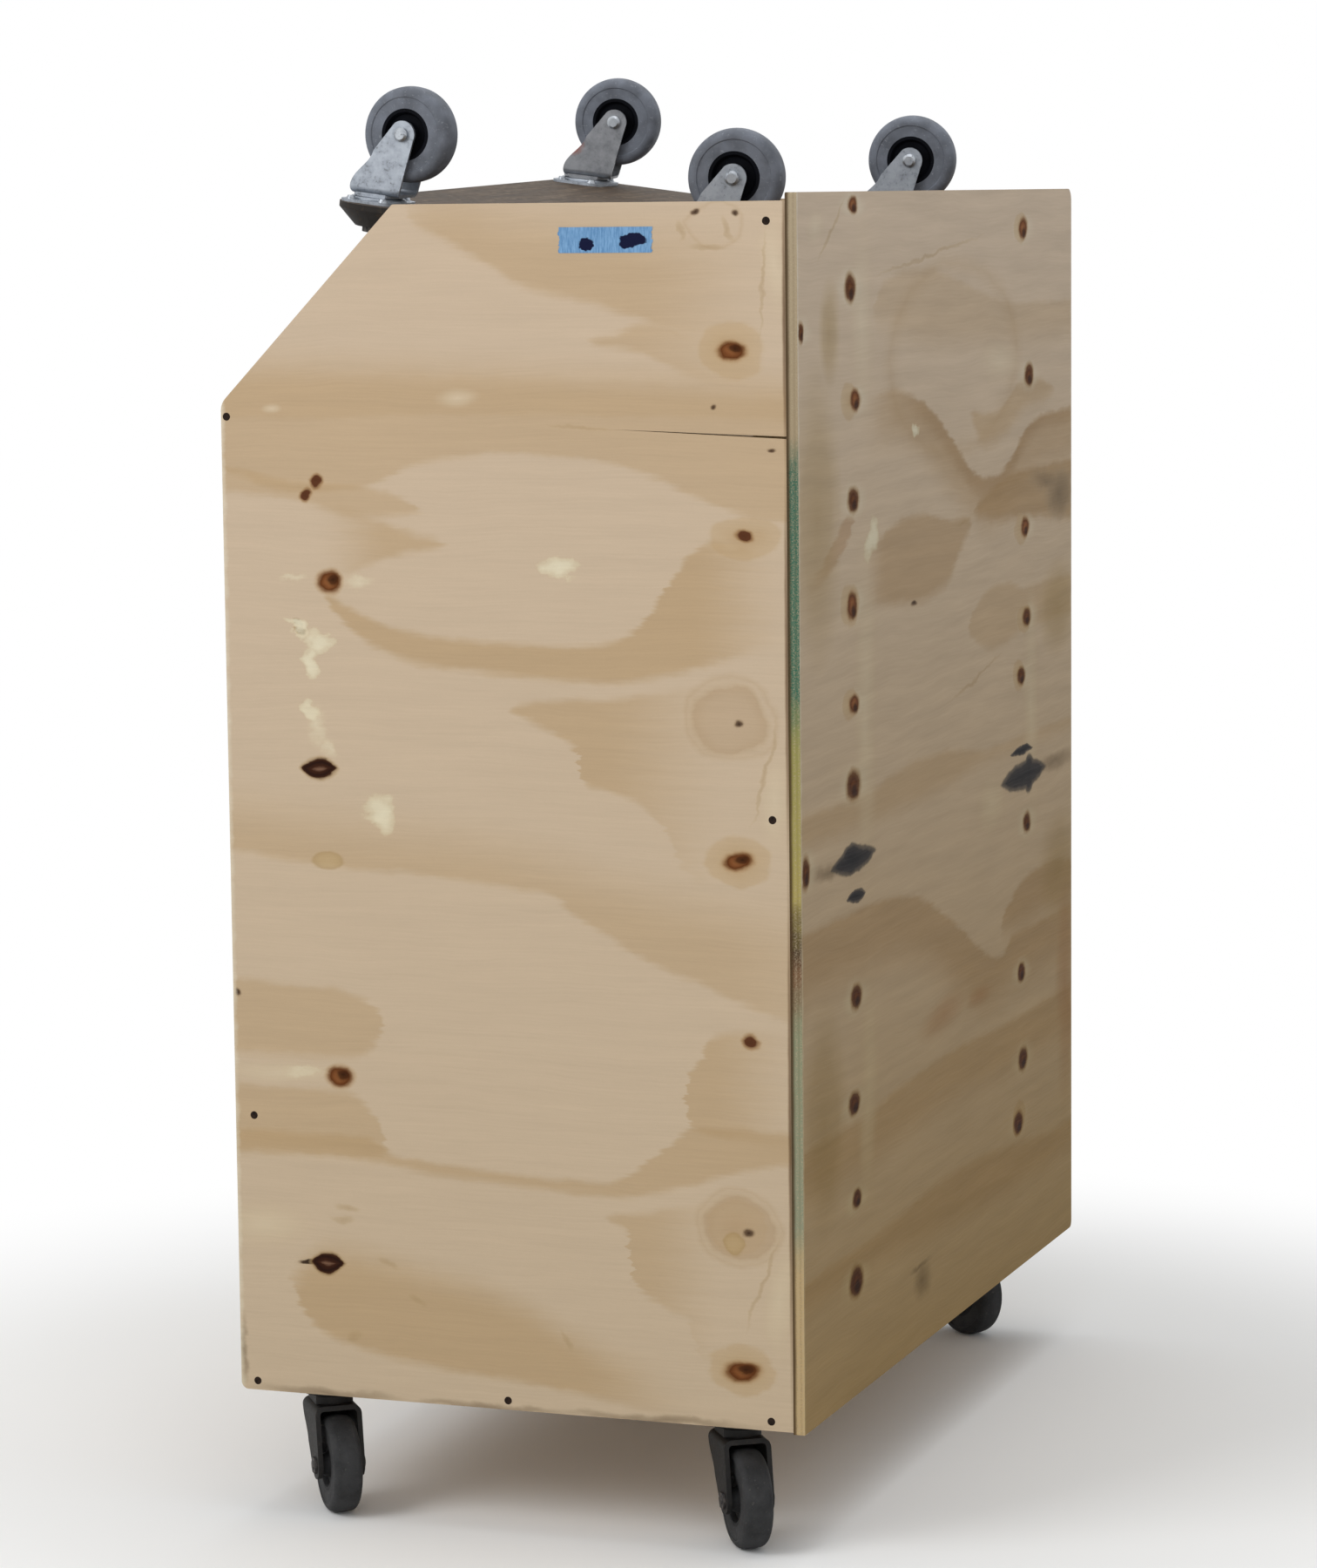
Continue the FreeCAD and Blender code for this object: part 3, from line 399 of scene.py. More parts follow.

# The right panel's figure, read off the photograph and set down in mm, in the order it is laid.
RIGHT_FIGURE = (
    Band(((-305, 945), (-220, 925), (-150, 930), (-100, 950), (-50, 960), (0, 965), (60, 963), (110, 955),
          (150, 945), (200, 925), (250, 906), (305, 900)),
         ((-305, 1055), (-100, 1050), (100, 1042), (305, 1035)), 10, 55, 0.5),
    Band(((-220, 998), (0, 1003), (150, 1002), (305, 998)), ((-220, 1040), (0, 1036), (150, 1028), (305, 1020)),
         10, 26, 0.3),
    Band(((-305, 925), (-220, 915), (-150, 900), (-90, 908)), ((-305, 950), (-220, 934), (-150, 929), (-90, 908)),
         10, 8, 0.5),
    Band(((-170, 842), (-130, 858), (-100, 866), (-65, 873)), ((-170, 908), (-130, 894), (-100, 886), (-65, 873)),
         12, 12, 0.6, (-120, -205)),
    Band(((-195, 822), (-175, 795), (-150, 775), (-100, 757), (-50, 750), (0, 745), (50, 741), (100, 740),
          (150, 745), (200, 757), (250, 772), (305, 785)),
         ((-195, 822), (-170, 812), (-150, 800), (-100, 785), (-50, 779), (0, 777), (50, 775), (100, 778),
          (130, 788), (155, 815), (175, 845), (200, 872), (215, 880), (260, 872), (305, 868)), 14, 11, 0.7, (190, 300)),
    Band(((5, 712), (30, 697), (60, 682), (74, 670), (78, 642), (110, 632), (150, 612), (168, 588), (182, 560),
          (205, 545), (240, 540)), ((5, 712), (50, 720), (100, 723), (150, 730), (240, 742)), 12, 10, 0.62, (90, 240)),
    Band(((-305, 560), (-200, 548), (-100, 542), (0, 533), (45, 526), (70, 507), (100, 490), (150, 463), (200, 445),
          (250, 425), (305, 405)),
         ((-305, 605), (-200, 592), (-100, 582), (0, 570), (60, 554), (120, 538), (200, 520), (305, 503)),
         12, 80, 0.5, (200, 420)),
    Band(((-305, 352), (-200, 352), (-165, 355), (-148, 368), (-138, 386)),
         ((-305, 428), (-230, 424), (-170, 416), (-148, 404), (-138, 386)), 16, 11, 0.5),
    Band(((-305, 252), (-200, 252), (-150, 250), (-138, 262)),
         ((-305, 318), (-200, 318), (-175, 314), (-150, 292), (-138, 262)), 24, 12, 0.5),
    Band(((-160, 250), (-100, 238), (-50, 234), (0, 231), (50, 228), (100, 226), (150, 232), (200, 246), (250, 262),
          (305, 272)),
         ((-160, 272), (-130, 256), (-100, 250), (-50, 246), (0, 242), (50, 239), (100, 240), (125, 250), (150, 270),
          (180, 292), (200, 302), (305, 300)), 11, 9, 0.58),
    Band(((183, 326), (188, 305), (200, 297), (250, 290), (305, 285)),
         ((183, 326), (187, 350), (200, 372), (212, 392), (240, 398), (305, 400)), 12, 13, 0.58, (205, 310)),
    Band(((98, 203), (120, 190), (127, 142), (160, 118), (188, 102), (194, 70), (230, 60)),
         ((98, 203), (150, 213), (190, 222), (230, 236)), 12, 11, 0.52, (135, 225)),
    Band(((-245, 112), (-225, 78), (-200, 62), (-100, 40), (0, 30), (100, 18), (185, 2)),
         ((-245, 112), (-200, 150), (-100, 134), (0, 110), (50, 84), (100, 62), (185, 40)), 14, 50, 0.66, (60, 200)),
    Band(((-95, 1194), (-58, 1174), (-15, 1149), (15, 1132), (52, 1121), (88, 1113), (113, 1106), (137, 1099),
          (160, 1091), (200, 1078), (290, 1068)),
         ((-95, 1194), (-50, 1214), (0, 1200), (100, 1184), (170, 1176), (290, 1170)), 15, 84, 0.55, (130, 290)),
    Band(((88, 1074), (130, 1067), (160, 1058), (200, 1040), (250, 1032), (290, 1040)),
         ((88, 1074), (120, 1082), (150, 1091), (200, 1078), (290, 1068)), 11, 9, 0.5, (130, 285)),
    Layer(Mark.PALE, ((282, 1150, 16, 62), (280, 630, 18, 62), (282, 130, 18, 70), (-280, 172, 60, 26),
                      (-250, 335, 76, 13), (-48, 1020, 25, 12, 4), (-250, 1006, 14, 6))),
    Layer(Mark.HALO, ((238, 1066, 38, 30), (240, 568, 36, 28), (241, 60, 38, 28), (250, 886, 40, 24),
                      (236, 203, 34, 29))),
    Layer(Mark.DISC, ((233, 707, 43, 39), (238, 202, 42, 35))),
    Layer(Mark.RING, ((222, 1186, 32, 26), (234, 708, 53, 46), (238, 202, 50, 42))),
    Layer(Mark.LINE, ((268, 655, 62, 3, 78), (262, 150, 60, 3, 70), (270, 1130, 60, 3, 86), (-138, 140, 16, 5, -30),
                      (-108, 106, 14, 5, -30), (-186, 186, 16, 5), (-184, 198, 16, 4), (-176, 64, 12, 8),
                      (56, 78, 14, 4, -60), (188, 1182, 14, 4, 80), (214, 1164, 22, 4), (234, 1181, 16, 4, -57),
                      (85, 992, 46, 2, -3))),
    Layer(Mark.RED_KNOT, RIGHT_RED),
    Layer(Mark.CORE, tuple((u + 4, v + 2, 0.5 * half_u, 0.5 * half_v) for u, v, half_u, half_v, *_ in RIGHT_RED)),
    Layer(Mark.SMALL_KNOT, ((-202, 935, 9, 10, -32), (-213, 922, 8, 10, -32), (250, 887, 14, 8, -8),
                            (252, 389, 12, 10, -20), (-222, 785, 8, 5, -20))),
    Layer(Mark.PALE_KNOT, ((-197, 553, 20, 11), (233, 187, 13, 13))),
    Layer(Mark.DOT, ((242, 703, 6, 5), (248, 198, 7, 5, 12), (202, 1199, 5, 4), (243, 1197, 5, 4),
                     (219, 1011, 4, 4), (278, 970, 6, 3), (-224, 793, 7, 4, -20), (-300, 414, 5, 6))),
    # Painted shade along the joint with the back panel.
    Layer(Mark.SEAM, ((292, 1100, 3, 190), (292, 760, 3, 240), (292, 300, 3, 330))),
    Layer(Mark.DARK_LINE, ((-226, 138, 14, 3),)),
    Layer(Mark.FILLER, ((-226, 788, 17, 7, -35), (-204, 772, 17, 14, 10), (-212, 753, 9, 17, 10),
                        (-212, 704, 12, 8, -50), (-138, 602, 19, 24, 28), (55, 853, 22, 14))),
    Layer(Mark.DARK_KNOT, ((-204, 646, 24, 15), (-206, 138, 22, 15))),
    Layer(Mark.FLECK, ((-158, 836, 20, 10), (-228, 838, 20, 5, 6), (-228, 334, 30, 6), (-206, 690, 14, 26, 15),
                       (-196, 669, 9, 14, 5))),
    Layer(Mark.SMUDGE, ((-205, 2, 100, 8), (-30, 1, 110, 6), (150, 2, 130, 7), (-301, 40, 6, 44))),
)
BACK_FIGURE = (
    Band(((-508, 905), (-300, 890), (-250, 868), (-150, 855), (-100, 868), (0, 905), (100, 945), (200, 965),
          (300, 955)),
         ((-508, 965), (-400, 963), (-350, 960), (-300, 945), (-250, 920), (-200, 906), (-150, 904), (-100, 914),
          (-50, 936), (0, 962), (50, 984), (100, 1000), (150, 1010), (200, 1016), (260, 1012), (300, 1000)),
         60, 10, 0.55, (180, 320), "AC8E68"),
    Band(((-400, 950), (-350, 944), (-300, 928), (-250, 902), (-200, 888), (-150, 886), (-100, 896), (-50, 917),
          (0, 942), (50, 964), (100, 980), (150, 990), (200, 996)),
         ((-400, 963), (-350, 960), (-300, 945), (-250, 920), (-200, 906), (-150, 904), (-100, 914), (-50, 936),
          (0, 962), (50, 984), (100, 1000), (150, 1010), (200, 1016)), 24, 9, 0.5, (60, 200), "9C7D57"),
    Band(((-430, 990), (-300, 972), (-200, 944), (-150, 940), (-90, 980)),
         ((-430, 990), (-300, 1006), (-250, 992), (-200, 976), (-150, 975), (-90, 980)), 26, 9, 0.55),
    Band(((-90, 862), (-50, 835), (0, 803), (50, 795), (100, 791), (200, 796), (290, 802)),
         ((-90, 862), (0, 869), (50, 876), (100, 881), (150, 881), (200, 876), (290, 856)), 18, 9, 0.6,
         (220, 310), "AC8E68"),
    Band(((-508, 838), (-300, 852), (-200, 856), (-150, 862), (-100, 872)),
         ((-508, 906), (-300, 905), (-200, 896), (-150, 886), (-100, 872)), 20, 10, 0.75, None, "A88A64"),
    Band(((330, 890), (380, 856), (430, 838), (508, 822)), ((330, 890), (350, 896), (380, 884), (430, 856), (508, 838)),
         10, 8, 0.5, (400, 500), "A9855F"),
    Band(((-250, 330), (-150, 320), (-50, 350), (50, 395), (150, 420), (320, 430)),
         ((-250, 385), (-235, 378), (-200, 367), (-150, 377), (-100, 397), (-50, 420), (0, 441), (50, 460), (100, 476),
          (200, 491), (320, 497)), 70, 10, 0.62, None, "AC8E68"),
    Band(((-508, 385), (-400, 395), (-300, 390), (-205, 402)), ((-508, 438), (-400, 447), (-300, 441), (-250, 427),
                                                                 (-205, 402)), 46, 10, 0.65, None, "AC8E68"),
    Band(((-150, 595), (0, 585), (290, 580)), ((-150, 605), (0, 622), (120, 624), (290, 612)), 30, 11, 0.5),
    Band(((-300, 728), (-200, 716), (-120, 726), (-78, 748)), ((-300, 772), (-200, 784), (-120, 772), (-78, 748)),
         14, 9, 0.45),
    Band(((-220, 235), (0, 240), (300, 230)), ((-220, 288), (0, 294), (150, 290), (300, 280)), 50, 12, 0.6),
    Band(((-400, 95), (-100, 100), (250, 120)), ((-400, 130), (-200, 150), (0, 160), (250, 150)), 40, 12, 0.55),
    Band(((-300, 1050), (-100, 1054), (100, 1062), (200, 1078), (262, 1100)),
         ((-300, 1090), (-200, 1098), (-100, 1112), (0, 1128), (100, 1138), (200, 1130), (262, 1100)), 46, 10, 0.34),
    Layer(Mark.TAN, ((-450, 740, 90, 60), (-450, 440, 100, 70), (440, 300, 80, 130), (450, 900, 90, 160),
                     (400, 1080, 40, 60))),
    Layer(Mark.RUST, ((20, 338, 100, 24, -2), (-120, 335, 60, 14), (-480, 290, 46, 170))),
    Layer(Mark.SMUDGE, ((-455, 872, 80, 34), (-400, 888, 90, 16, 4), (420, 548, 110, 12, 3), (-430, 560, 120, 12),
                        (104, 66, 40, 24), (112, 84, 44, 5))),
    Layer(Mark.SMUDGE, ((-456, 868, 64, 32),)),
    Layer(Mark.RING, ((-32, 1040, 270, 114),)),
    Layer(Mark.PALE, ((298, 1090, 42, 120), (296, 690, 42, 220), (-334, 640, 40, 160), (292, 300, 40, 160),
                      (450, 1185, 34, 20), (-205, 1029, 105, 29), (-165, 545, 70, 40))),
    Layer(Mark.GLOW, tuple((u, v, half_u + 27, half_v + 4) for u, v, half_u, half_v in BACK_RED + BACK_BARK)),
    Layer(Mark.HALO, ((344, 1010, 30, 20), (346, 806, 34, 24), (348, 706, 28, 18), (-288, 1176, 30, 20),
                      (-292, 841, 32, 18), (-300, 739, 30, 18), (-280, 676, 28, 20), (-278, 170, 30, 22))),
    Layer(Mark.RED_KNOT, BACK_RED),
    Layer(Mark.BARK_KNOT, BACK_BARK),
    Layer(Mark.CORE, tuple((u - 4, v - 0.3 * half_v, 0.5 * half_u, 0.5 * half_v)
                           for u, v, half_u, half_v in BACK_RED + BACK_BARK)),
    Layer(Mark.SCUFF, ((338, 549, 80, 15), (345, 553, 40, 15), (330, 511, 34, 8), (-300, 560, 100, 18),
                       (-322, 560, 26, 24), (-292, 589, 50, 6))),
    Layer(Mark.DOT, ((125, 790, 14, 4),)),
    Layer(Mark.LINE, ((-60, 862, 34, 4, -8), (60, 1150, 220, 3, -5), (400, 1178, 60, 4, -35),
                      (-110, 690, 120, 3, -10))),
    Layer(Mark.FILLER, ((272, 868, 30, 18, -30), (118, 970, 14, 7))),
)


# Marks that handling left, and the painted shade of the joint, which the next sheet of the log doesn't share.
HANDLING = (Mark.FILLER, Mark.FLECK, Mark.SCUFF, Mark.SMUDGE, Mark.DOT, Mark.DARK_LINE, Mark.SEAM)


def next_sheet(figure: tuple[Layer | Band, ...], rise: float) -> tuple[Layer | Band, ...]:
    """Turn a figure over, as on a sheet peeled from the same log and laid the other way round.

    Args:
        figure: The figure of the first sheet.
        rise: How far up the sheet the figure moves, in mm.

    Returns:
        The figure without the marks of handling and the painted joint shade.
    """
    made: list[Layer | Band] = []
    for layer in figure:
        if isinstance(layer, Band):
            lower, upper = (tuple((-u, v + rise) for u, v in reversed(line)) for line in (layer.lower, layer.upper))
            fade = (-layer.fade[0], -layer.fade[1]) if layer.fade else None
            made.append(replace(layer, lower=lower, upper=upper, fade=fade))
        elif layer.mark not in HANDLING:
            made.append(replace(layer, spots=tuple((-u, v + rise, half_u, half_v, *(-angle for angle in turn))
                                                   for u, v, half_u, half_v, *turn in layer.spots)))
    return tuple(made)


def new_tree(name: str) -> tuple[Material, Adder]:
    """Make an empty node material.

    Args:
        name: Name of the material.

    Returns:
        The material, and what adds a node to it.
    """
    made = bpy.data.materials.new(name)
    made.use_nodes = True
    made.node_tree.nodes.clear()
    return made, partial(add_node, made.node_tree)


@dataclass(frozen=True)
class Finish:
    """A procedural finish, laid out in the metres of the piece that wears it."""

    name: str

    def make(self) -> Material:
        """Build the material round what surface() lays out.

        Returns:
            The material.
        """
        made, add = new_tree(self.name)
        place = add("TexCoord").outputs["Object"]
        shader = add("BsdfPrincipled", self.surface(add, place))
        add("OutputMaterial", {0: shader})
        return made

    def surface(self, add: Adder, place: NodeSocket) -> dict[str, object]:
        """Lay out the nodes of the look.

        Args:
            add: Adds a node to the material.
            place: Place on the piece, in metres.

        Returns:
            Shader inputs by name.
        """
        raise NotImplementedError


# What a noise's colour is on average, to push places both ways.
NOISE_MIDDLE = (0.5, 0.5, 0.5)
# A face that turns towards an axis by more than this cosine is square to it.
SQUARE_ON = 0.7
# Crossed plies in a board, and how far their glue lines stray from true in metres.
PLIES = 5
PLY_STRAY = 0.6 * MM
# How far in from the upright arris the painted highlight reaches, where the eased edge catches the light.
EDGE_HIGHLIGHT_WIDTH = 5 * MM


@dataclass(frozen=True)
class Plywood(Finish):
    """Raw sanded pine plywood. The face is veneer peeled off a turning log by a knife and sanded at the mill,
    so it is smooth and matt, with broad bands where the knife ran along a growth ring, and the edge shows
    five crossed plies, light where they are cut along the grain and dark where they are cut across.

    drift is how many rings the cut wanders through by itself, dim_low and dim_high tint the foot and the
    head of the board, and sealed paints the edge along the grain with the sheet maker's colour, by height.
    """

    facing: Facing
    origin_v: float
    face_low: float
    layers: tuple[Layer | Band, ...] = ()
    drift: float = 0.24
    dim_low: str = "EFECE6"
    dim_high: str = "FFFFFF"
    height: float = 1.2
    half_u: float = 0.305
    ply: float = 2.4
    streaks: float = 0.02
    seam: str | None = None
    sealed: tuple[tuple[float, str], ...] = ()
    plies_dark: str = "A5865A"
    plies_light: str = "CDB68D"

    def surface(self, add: Adder, place: NodeSocket) -> dict[str, object]:
        """Lay the figure, its marks, a painted highlight on the upright edges, a tint by height, grain and edges over
        one another.

        Args:
            add: Adds a node to the material.
            place: Place on the piece, in metres.

        Returns:
            Shader inputs by name.
        """
        apart = add("SeparateXYZ", {0: place}).outputs
        along, high, depth = (apart[axis] for axis in self.facing.value)
        # Along the grain, across it, and through the thickness, with the foot of the board at zero.
        rise = add("Math", {0: high, 1: self.origin_v}, operation="SUBTRACT")
        flat = add("CombineXYZ", {0: along, 1: rise, 2: depth})
        pushed: dict[Warp, Node] = {}
        for warp in Warp:
            pushed[warp] = self.warped(add, pushed[Warp.NEAR] if warp is Warp.FRAYED else flat, warp)
        colour = self.figure(add, flat)
        for number, layer in enumerate(self.layers):
            group = layer.group("%s_layer_%02d" % (self.name, number))
            colour = add("Group", {0: pushed[layer.warp()], 1: colour}, node_tree=group)
        # Painted highlight: towards the upright edges the colour turns pale (DCD0BB), standing in for the light that
        # the eased arris catches.
        ragged = add("SeparateXYZ", {0: pushed[Warp.NEAR]})
        reach = add("Math", {0: ragged}, operation="ABSOLUTE")
        edge_highlight = add("MapRange", {0: reach, 1: self.half_u - EDGE_HIGHLIGHT_WIDTH, 2: self.half_u, 4: 0.7})
        colour = add("Mix", {0: edge_highlight, 6: colour, 7: "DCD0BB"}, data_type="RGBA")
        # Darker towards the foot of the board and tinted towards its head, by dim_low and dim_high.
        low = add("MapRange", {0: rise, 2: self.height})
        dim = add("ValToRGB", {0: low}, [(0.0, self.dim_low), (1.0, self.dim_high)])
        tinted_by_height = add("Mix", {0: 1.0, 6: colour, 7: dim}, data_type="RGBA", blend_type="MULTIPLY")
        grain, colour = self.grain(add, pushed[Warp.WIDE], tinted_by_height)
        colour = self.edges(add, flat, rise, depth, colour)
        rough = add("MapRange", {0: grain, 3: 0.58, 4: 0.74})
        bump = add("Bump", {"Height": grain, "Strength": 0.15, "Distance": 0.4 * MM})
        return {"Base Color": colour, "Roughness": rough, "Normal": bump, "IOR": SOLID_IOR,
                "Specular IOR Level": 0.05}

    def warped(self, add: Adder, place: Node, warp: Warp) -> Node:
        """Push a place about with noise, so that marks get the uneven outline of cut growth rings.

        Args:
            add: Adds a node to the material.
            place: Flat place on the board.
            warp: How far and how finely.

        Returns:
            The pushed place.
        """
        along, across, cells_along, cells_across = warp.value
        long = add("Mapping", {0: place, 3: (cells_along, cells_across, 0.0)})
        cloud = add("TexNoise", {0: long, "Scale": 1.0, "Detail": 4.0, "Roughness": 0.55})
        centred = add("VectorMath", {0: cloud.outputs["Color"], 1: NOISE_MIDDLE}, operation="SUBTRACT")
        return add("VectorMath", {0: centred, 1: (2 * along, 2 * across, 0.0), 2: place}, operation="MULTIPLY_ADD")

    def figure(self, add: Adder, place: Node) -> Node:
        """Colour the veneer by the growth rings that the cut wanders through.

        Args:
            add: Adds a node to the material.
            place: Flat place on the board.

        Returns:
            The colour.
        """
        # Rings wander over about 250 mm along the grain and 90 mm across it.
        long = add("Mapping", {0: place, 3: (4.0, 11.0, 0.0)})
        cloud = add("TexNoise", {0: long, "Scale": 1.0, "Detail": 2.0})
        # Outlines are feathered along the grain, 3 mm wide and 30 mm long.
        fibre = add("Mapping", {0: place, 3: (32.0, 330.0, 0.0)})
        fray = add("TexNoise", {0: fibre, "Scale": 1.0, "Detail": 3.0})
        ring = add("MapRange", {0: cloud, 1: 0.25, 2: 0.75, 3: 0.54 - self.drift, 4: 0.54 + self.drift}, clamp=False)
        share = add("Math", {0: fray, 1: 0.04, 2: ring}, operation="MULTIPLY_ADD")
        return add("ValToRGB", {0: share}, [
            (0.0, "C5AF93"), (0.22, "BFA684"), (0.43, "B89C76"), (0.48, "C8B39B"), (0.62, "C8B39B"),
            (0.72, "BBA07B"), (0.76, "CAB49B"), (1.0, "C8B298")])

    def grain(self, add: Adder, place: Node, under: Node) -> tuple[Node, Node]:
        """Add the grain: soft streaks 15 mm wide, resin streaks 2 mm wide and 80 mm long, and a sanded speckle.

        Args:
            add: Adds a node to the material.
            place: Flat place on the board.
            under: The colour so far.

        Returns:
            The streaks, and the colour with them.
        """
        long = add("Mapping", {0: place, 3: (12.0, 480.0, 30.0)})
        streak = add("TexNoise", {0: long, "Scale": 1.0, "Detail": 5.0, "Roughness": 0.6})
        # Real fibre is 0.03 mm wide, so the speckle is drawn at 1.2 mm to show at all.
        speck = add("TexNoise", {0: place, "Scale": 820.0, "Detail": 2.0})
        both = add("Math", {0: speck, 1: 0.35, 2: streak}, operation="MULTIPLY_ADD")
        level = add("MapRange", {0: both, 1: 0.42, 2: 0.92})
        darker = add("MapRange", {0: level, 3: 1.03, 4: 0.96})
        broad = add("Mapping", {0: place, 2: (0.0, 0.0, -0.05), 3: (5.0, 66.0, 0.0)})
        soft = add("TexNoise", {0: broad, "Scale": 1.0, "Detail": 3.0})
        ripple = add("MapRange", {0: soft, 1: 0.3, 2: 0.7, 3: 1 + self.streaks, 4: 1 - self.streaks})
        gain = add("Math", {0: darker, 1: ripple}, operation="MULTIPLY")
        return level, add("VectorMath", {0: under, "Scale": gain}, operation="SCALE")

    def edges(self, add: Adder, place: Node, rise: Node, depth: NodeSocket, face: Node) -> Node:
        """Show the plies on every face that isn't the veneer.

        Args:
            add: Adds a node to the material.
            place: Flat place on the board.
            rise: Height on the board.
            depth: Place through the thickness.
            face: The veneer's colour.

        Returns:
            The colour of veneer and edges together.
        """
        axis_u, _, axis_n = self.facing.value
        turned = add("SeparateXYZ", {0: add("NewGeometry").outputs["True Normal"]}).outputs
        wander = add("TexNoise", {0: place, "Scale": 26.0, "Detail": 3.0})
        uneven = add("Math", {0: wander, 1: 2 * PLY_STRAY, 2: depth}, operation="MULTIPLY_ADD")
        start = self.face_low + PLY_STRAY
        layer = add("MapRange", {0: uneven, 1: start, 2: start + PLIES * self.ply * MM})
        # Each ply keeps one tone up to a glue line a tenth of a ply wide.
        plies = add("ValToRGB", {0: layer}, [
            ((ply + side) / PLIES, self.plies_dark if ply % 2 else self.plies_light)
            for ply in range(PLIES) for side in (0.05, 0.95)])
        # End grain pores, about 1.5 mm across.
        pores = add("TexNoise", {0: place, "Scale": 640.0, "Detail": 3.0})
        gain = add("MapRange", {0: pores, 1: 0.3, 2: 0.7, 3: 0.78, 4: 1.08})
        edge = add("VectorMath", {0: plies, "Scale": gain}, operation="SCALE")
        if self.sealed:
            # The colours of the coat meet in ragged lines, 80 mm deep at most.
            drift = add("TexNoise", {0: place, "Scale": 32.0, "Detail": 4.0})
            level = add("Math", {0: drift, 1: 0.08, 2: rise}, operation="MULTIPLY_ADD")
            share = add("MapRange", {0: level, 1: 0.04, 2: self.height + 0.04})
            coat = add("ValToRGB", {0: share}, [(at / self.height, code) for at, code in self.sealed])
            worn = add("MapRange", {0: pores, 1: 0.38, 2: 0.66, 3: 0.95, 4: 0.45})
            painted = add("Mix", {0: worn, 6: edge, 7: coat}, data_type="RGBA")
            across = add("Math", {0: turned[axis_u], 1: SQUARE_ON}, operation="GREATER_THAN")
            edge = add("Mix", {0: across, 6: edge, 7: painted}, data_type="RGBA")
        if self.seam:
            # Darker over 3 mm along the joint with the next board.
            near_joint = add("MapRange", {0: layer, 1: 0.16, 2: 0.34, 3: 0.9, 4: 0.0})
            edge = add("Mix", {0: near_joint, 6: edge, 7: self.seam}, data_type="RGBA")
        square = add("Math", {0: turned[axis_n]}, operation="ABSOLUTE")
        veneer = add("Math", {0: square, 1: SQUARE_ON}, operation="GREATER_THAN")
        return add("Mix", {0: veneer, 6: edge, 7: face}, data_type="RGBA")


@dataclass(frozen=True)
class SawnPine(Finish):
    """Sawn pine batten, ripped along the trunk and left as the saw cut it: pale wood with straight growth
    lines along its length, and a slightly furry, quite matt face."""

    facing: Facing
    light: str = "D0B78E"
    dark: str = "AE8D5F"

    def surface(self, add: Adder, place: NodeSocket) -> dict[str, object]:
        """Draw the growth lines along the batten, and the fur of the saw cut.

        Args:
            add: Adds a node to the material.
            place: Place on the piece, in metres.

        Returns:
            Shader inputs by name.
        """
        apart = add("SeparateXYZ", {0: place}).outputs
        flat = add("CombineXYZ", {to: apart[axis] for to, axis in enumerate(self.facing.value)})
        # Growth rings 5 mm apart across, drawn out to 250 mm along the length.
        long = add("Mapping", {0: flat, 3: (4.0, 200.0, 200.0)})
        rings = add("TexNoise", {0: long, "Scale": 1.0, "Detail": 3.0})
        fur = add("TexNoise", {0: flat, "Scale": 900.0, "Detail": 2.0})
        both = add("Math", {0: fur, 1: 0.3, 2: rings}, operation="MULTIPLY_ADD")
        tone = add("ValToRGB", {0: both}, [(0.42, self.light), (0.62, "C3A678"), (0.86, self.dark)])
        rough = add("MapRange", {0: fur, 3: 0.66, 4: 0.84})
        bump = add("Bump", {"Height": both, "Strength": 0.3, "Distance": 0.5 * MM})
        return {"Base Color": tone, "Roughness": rough, "Normal": bump, "IOR": SOLID_IOR}


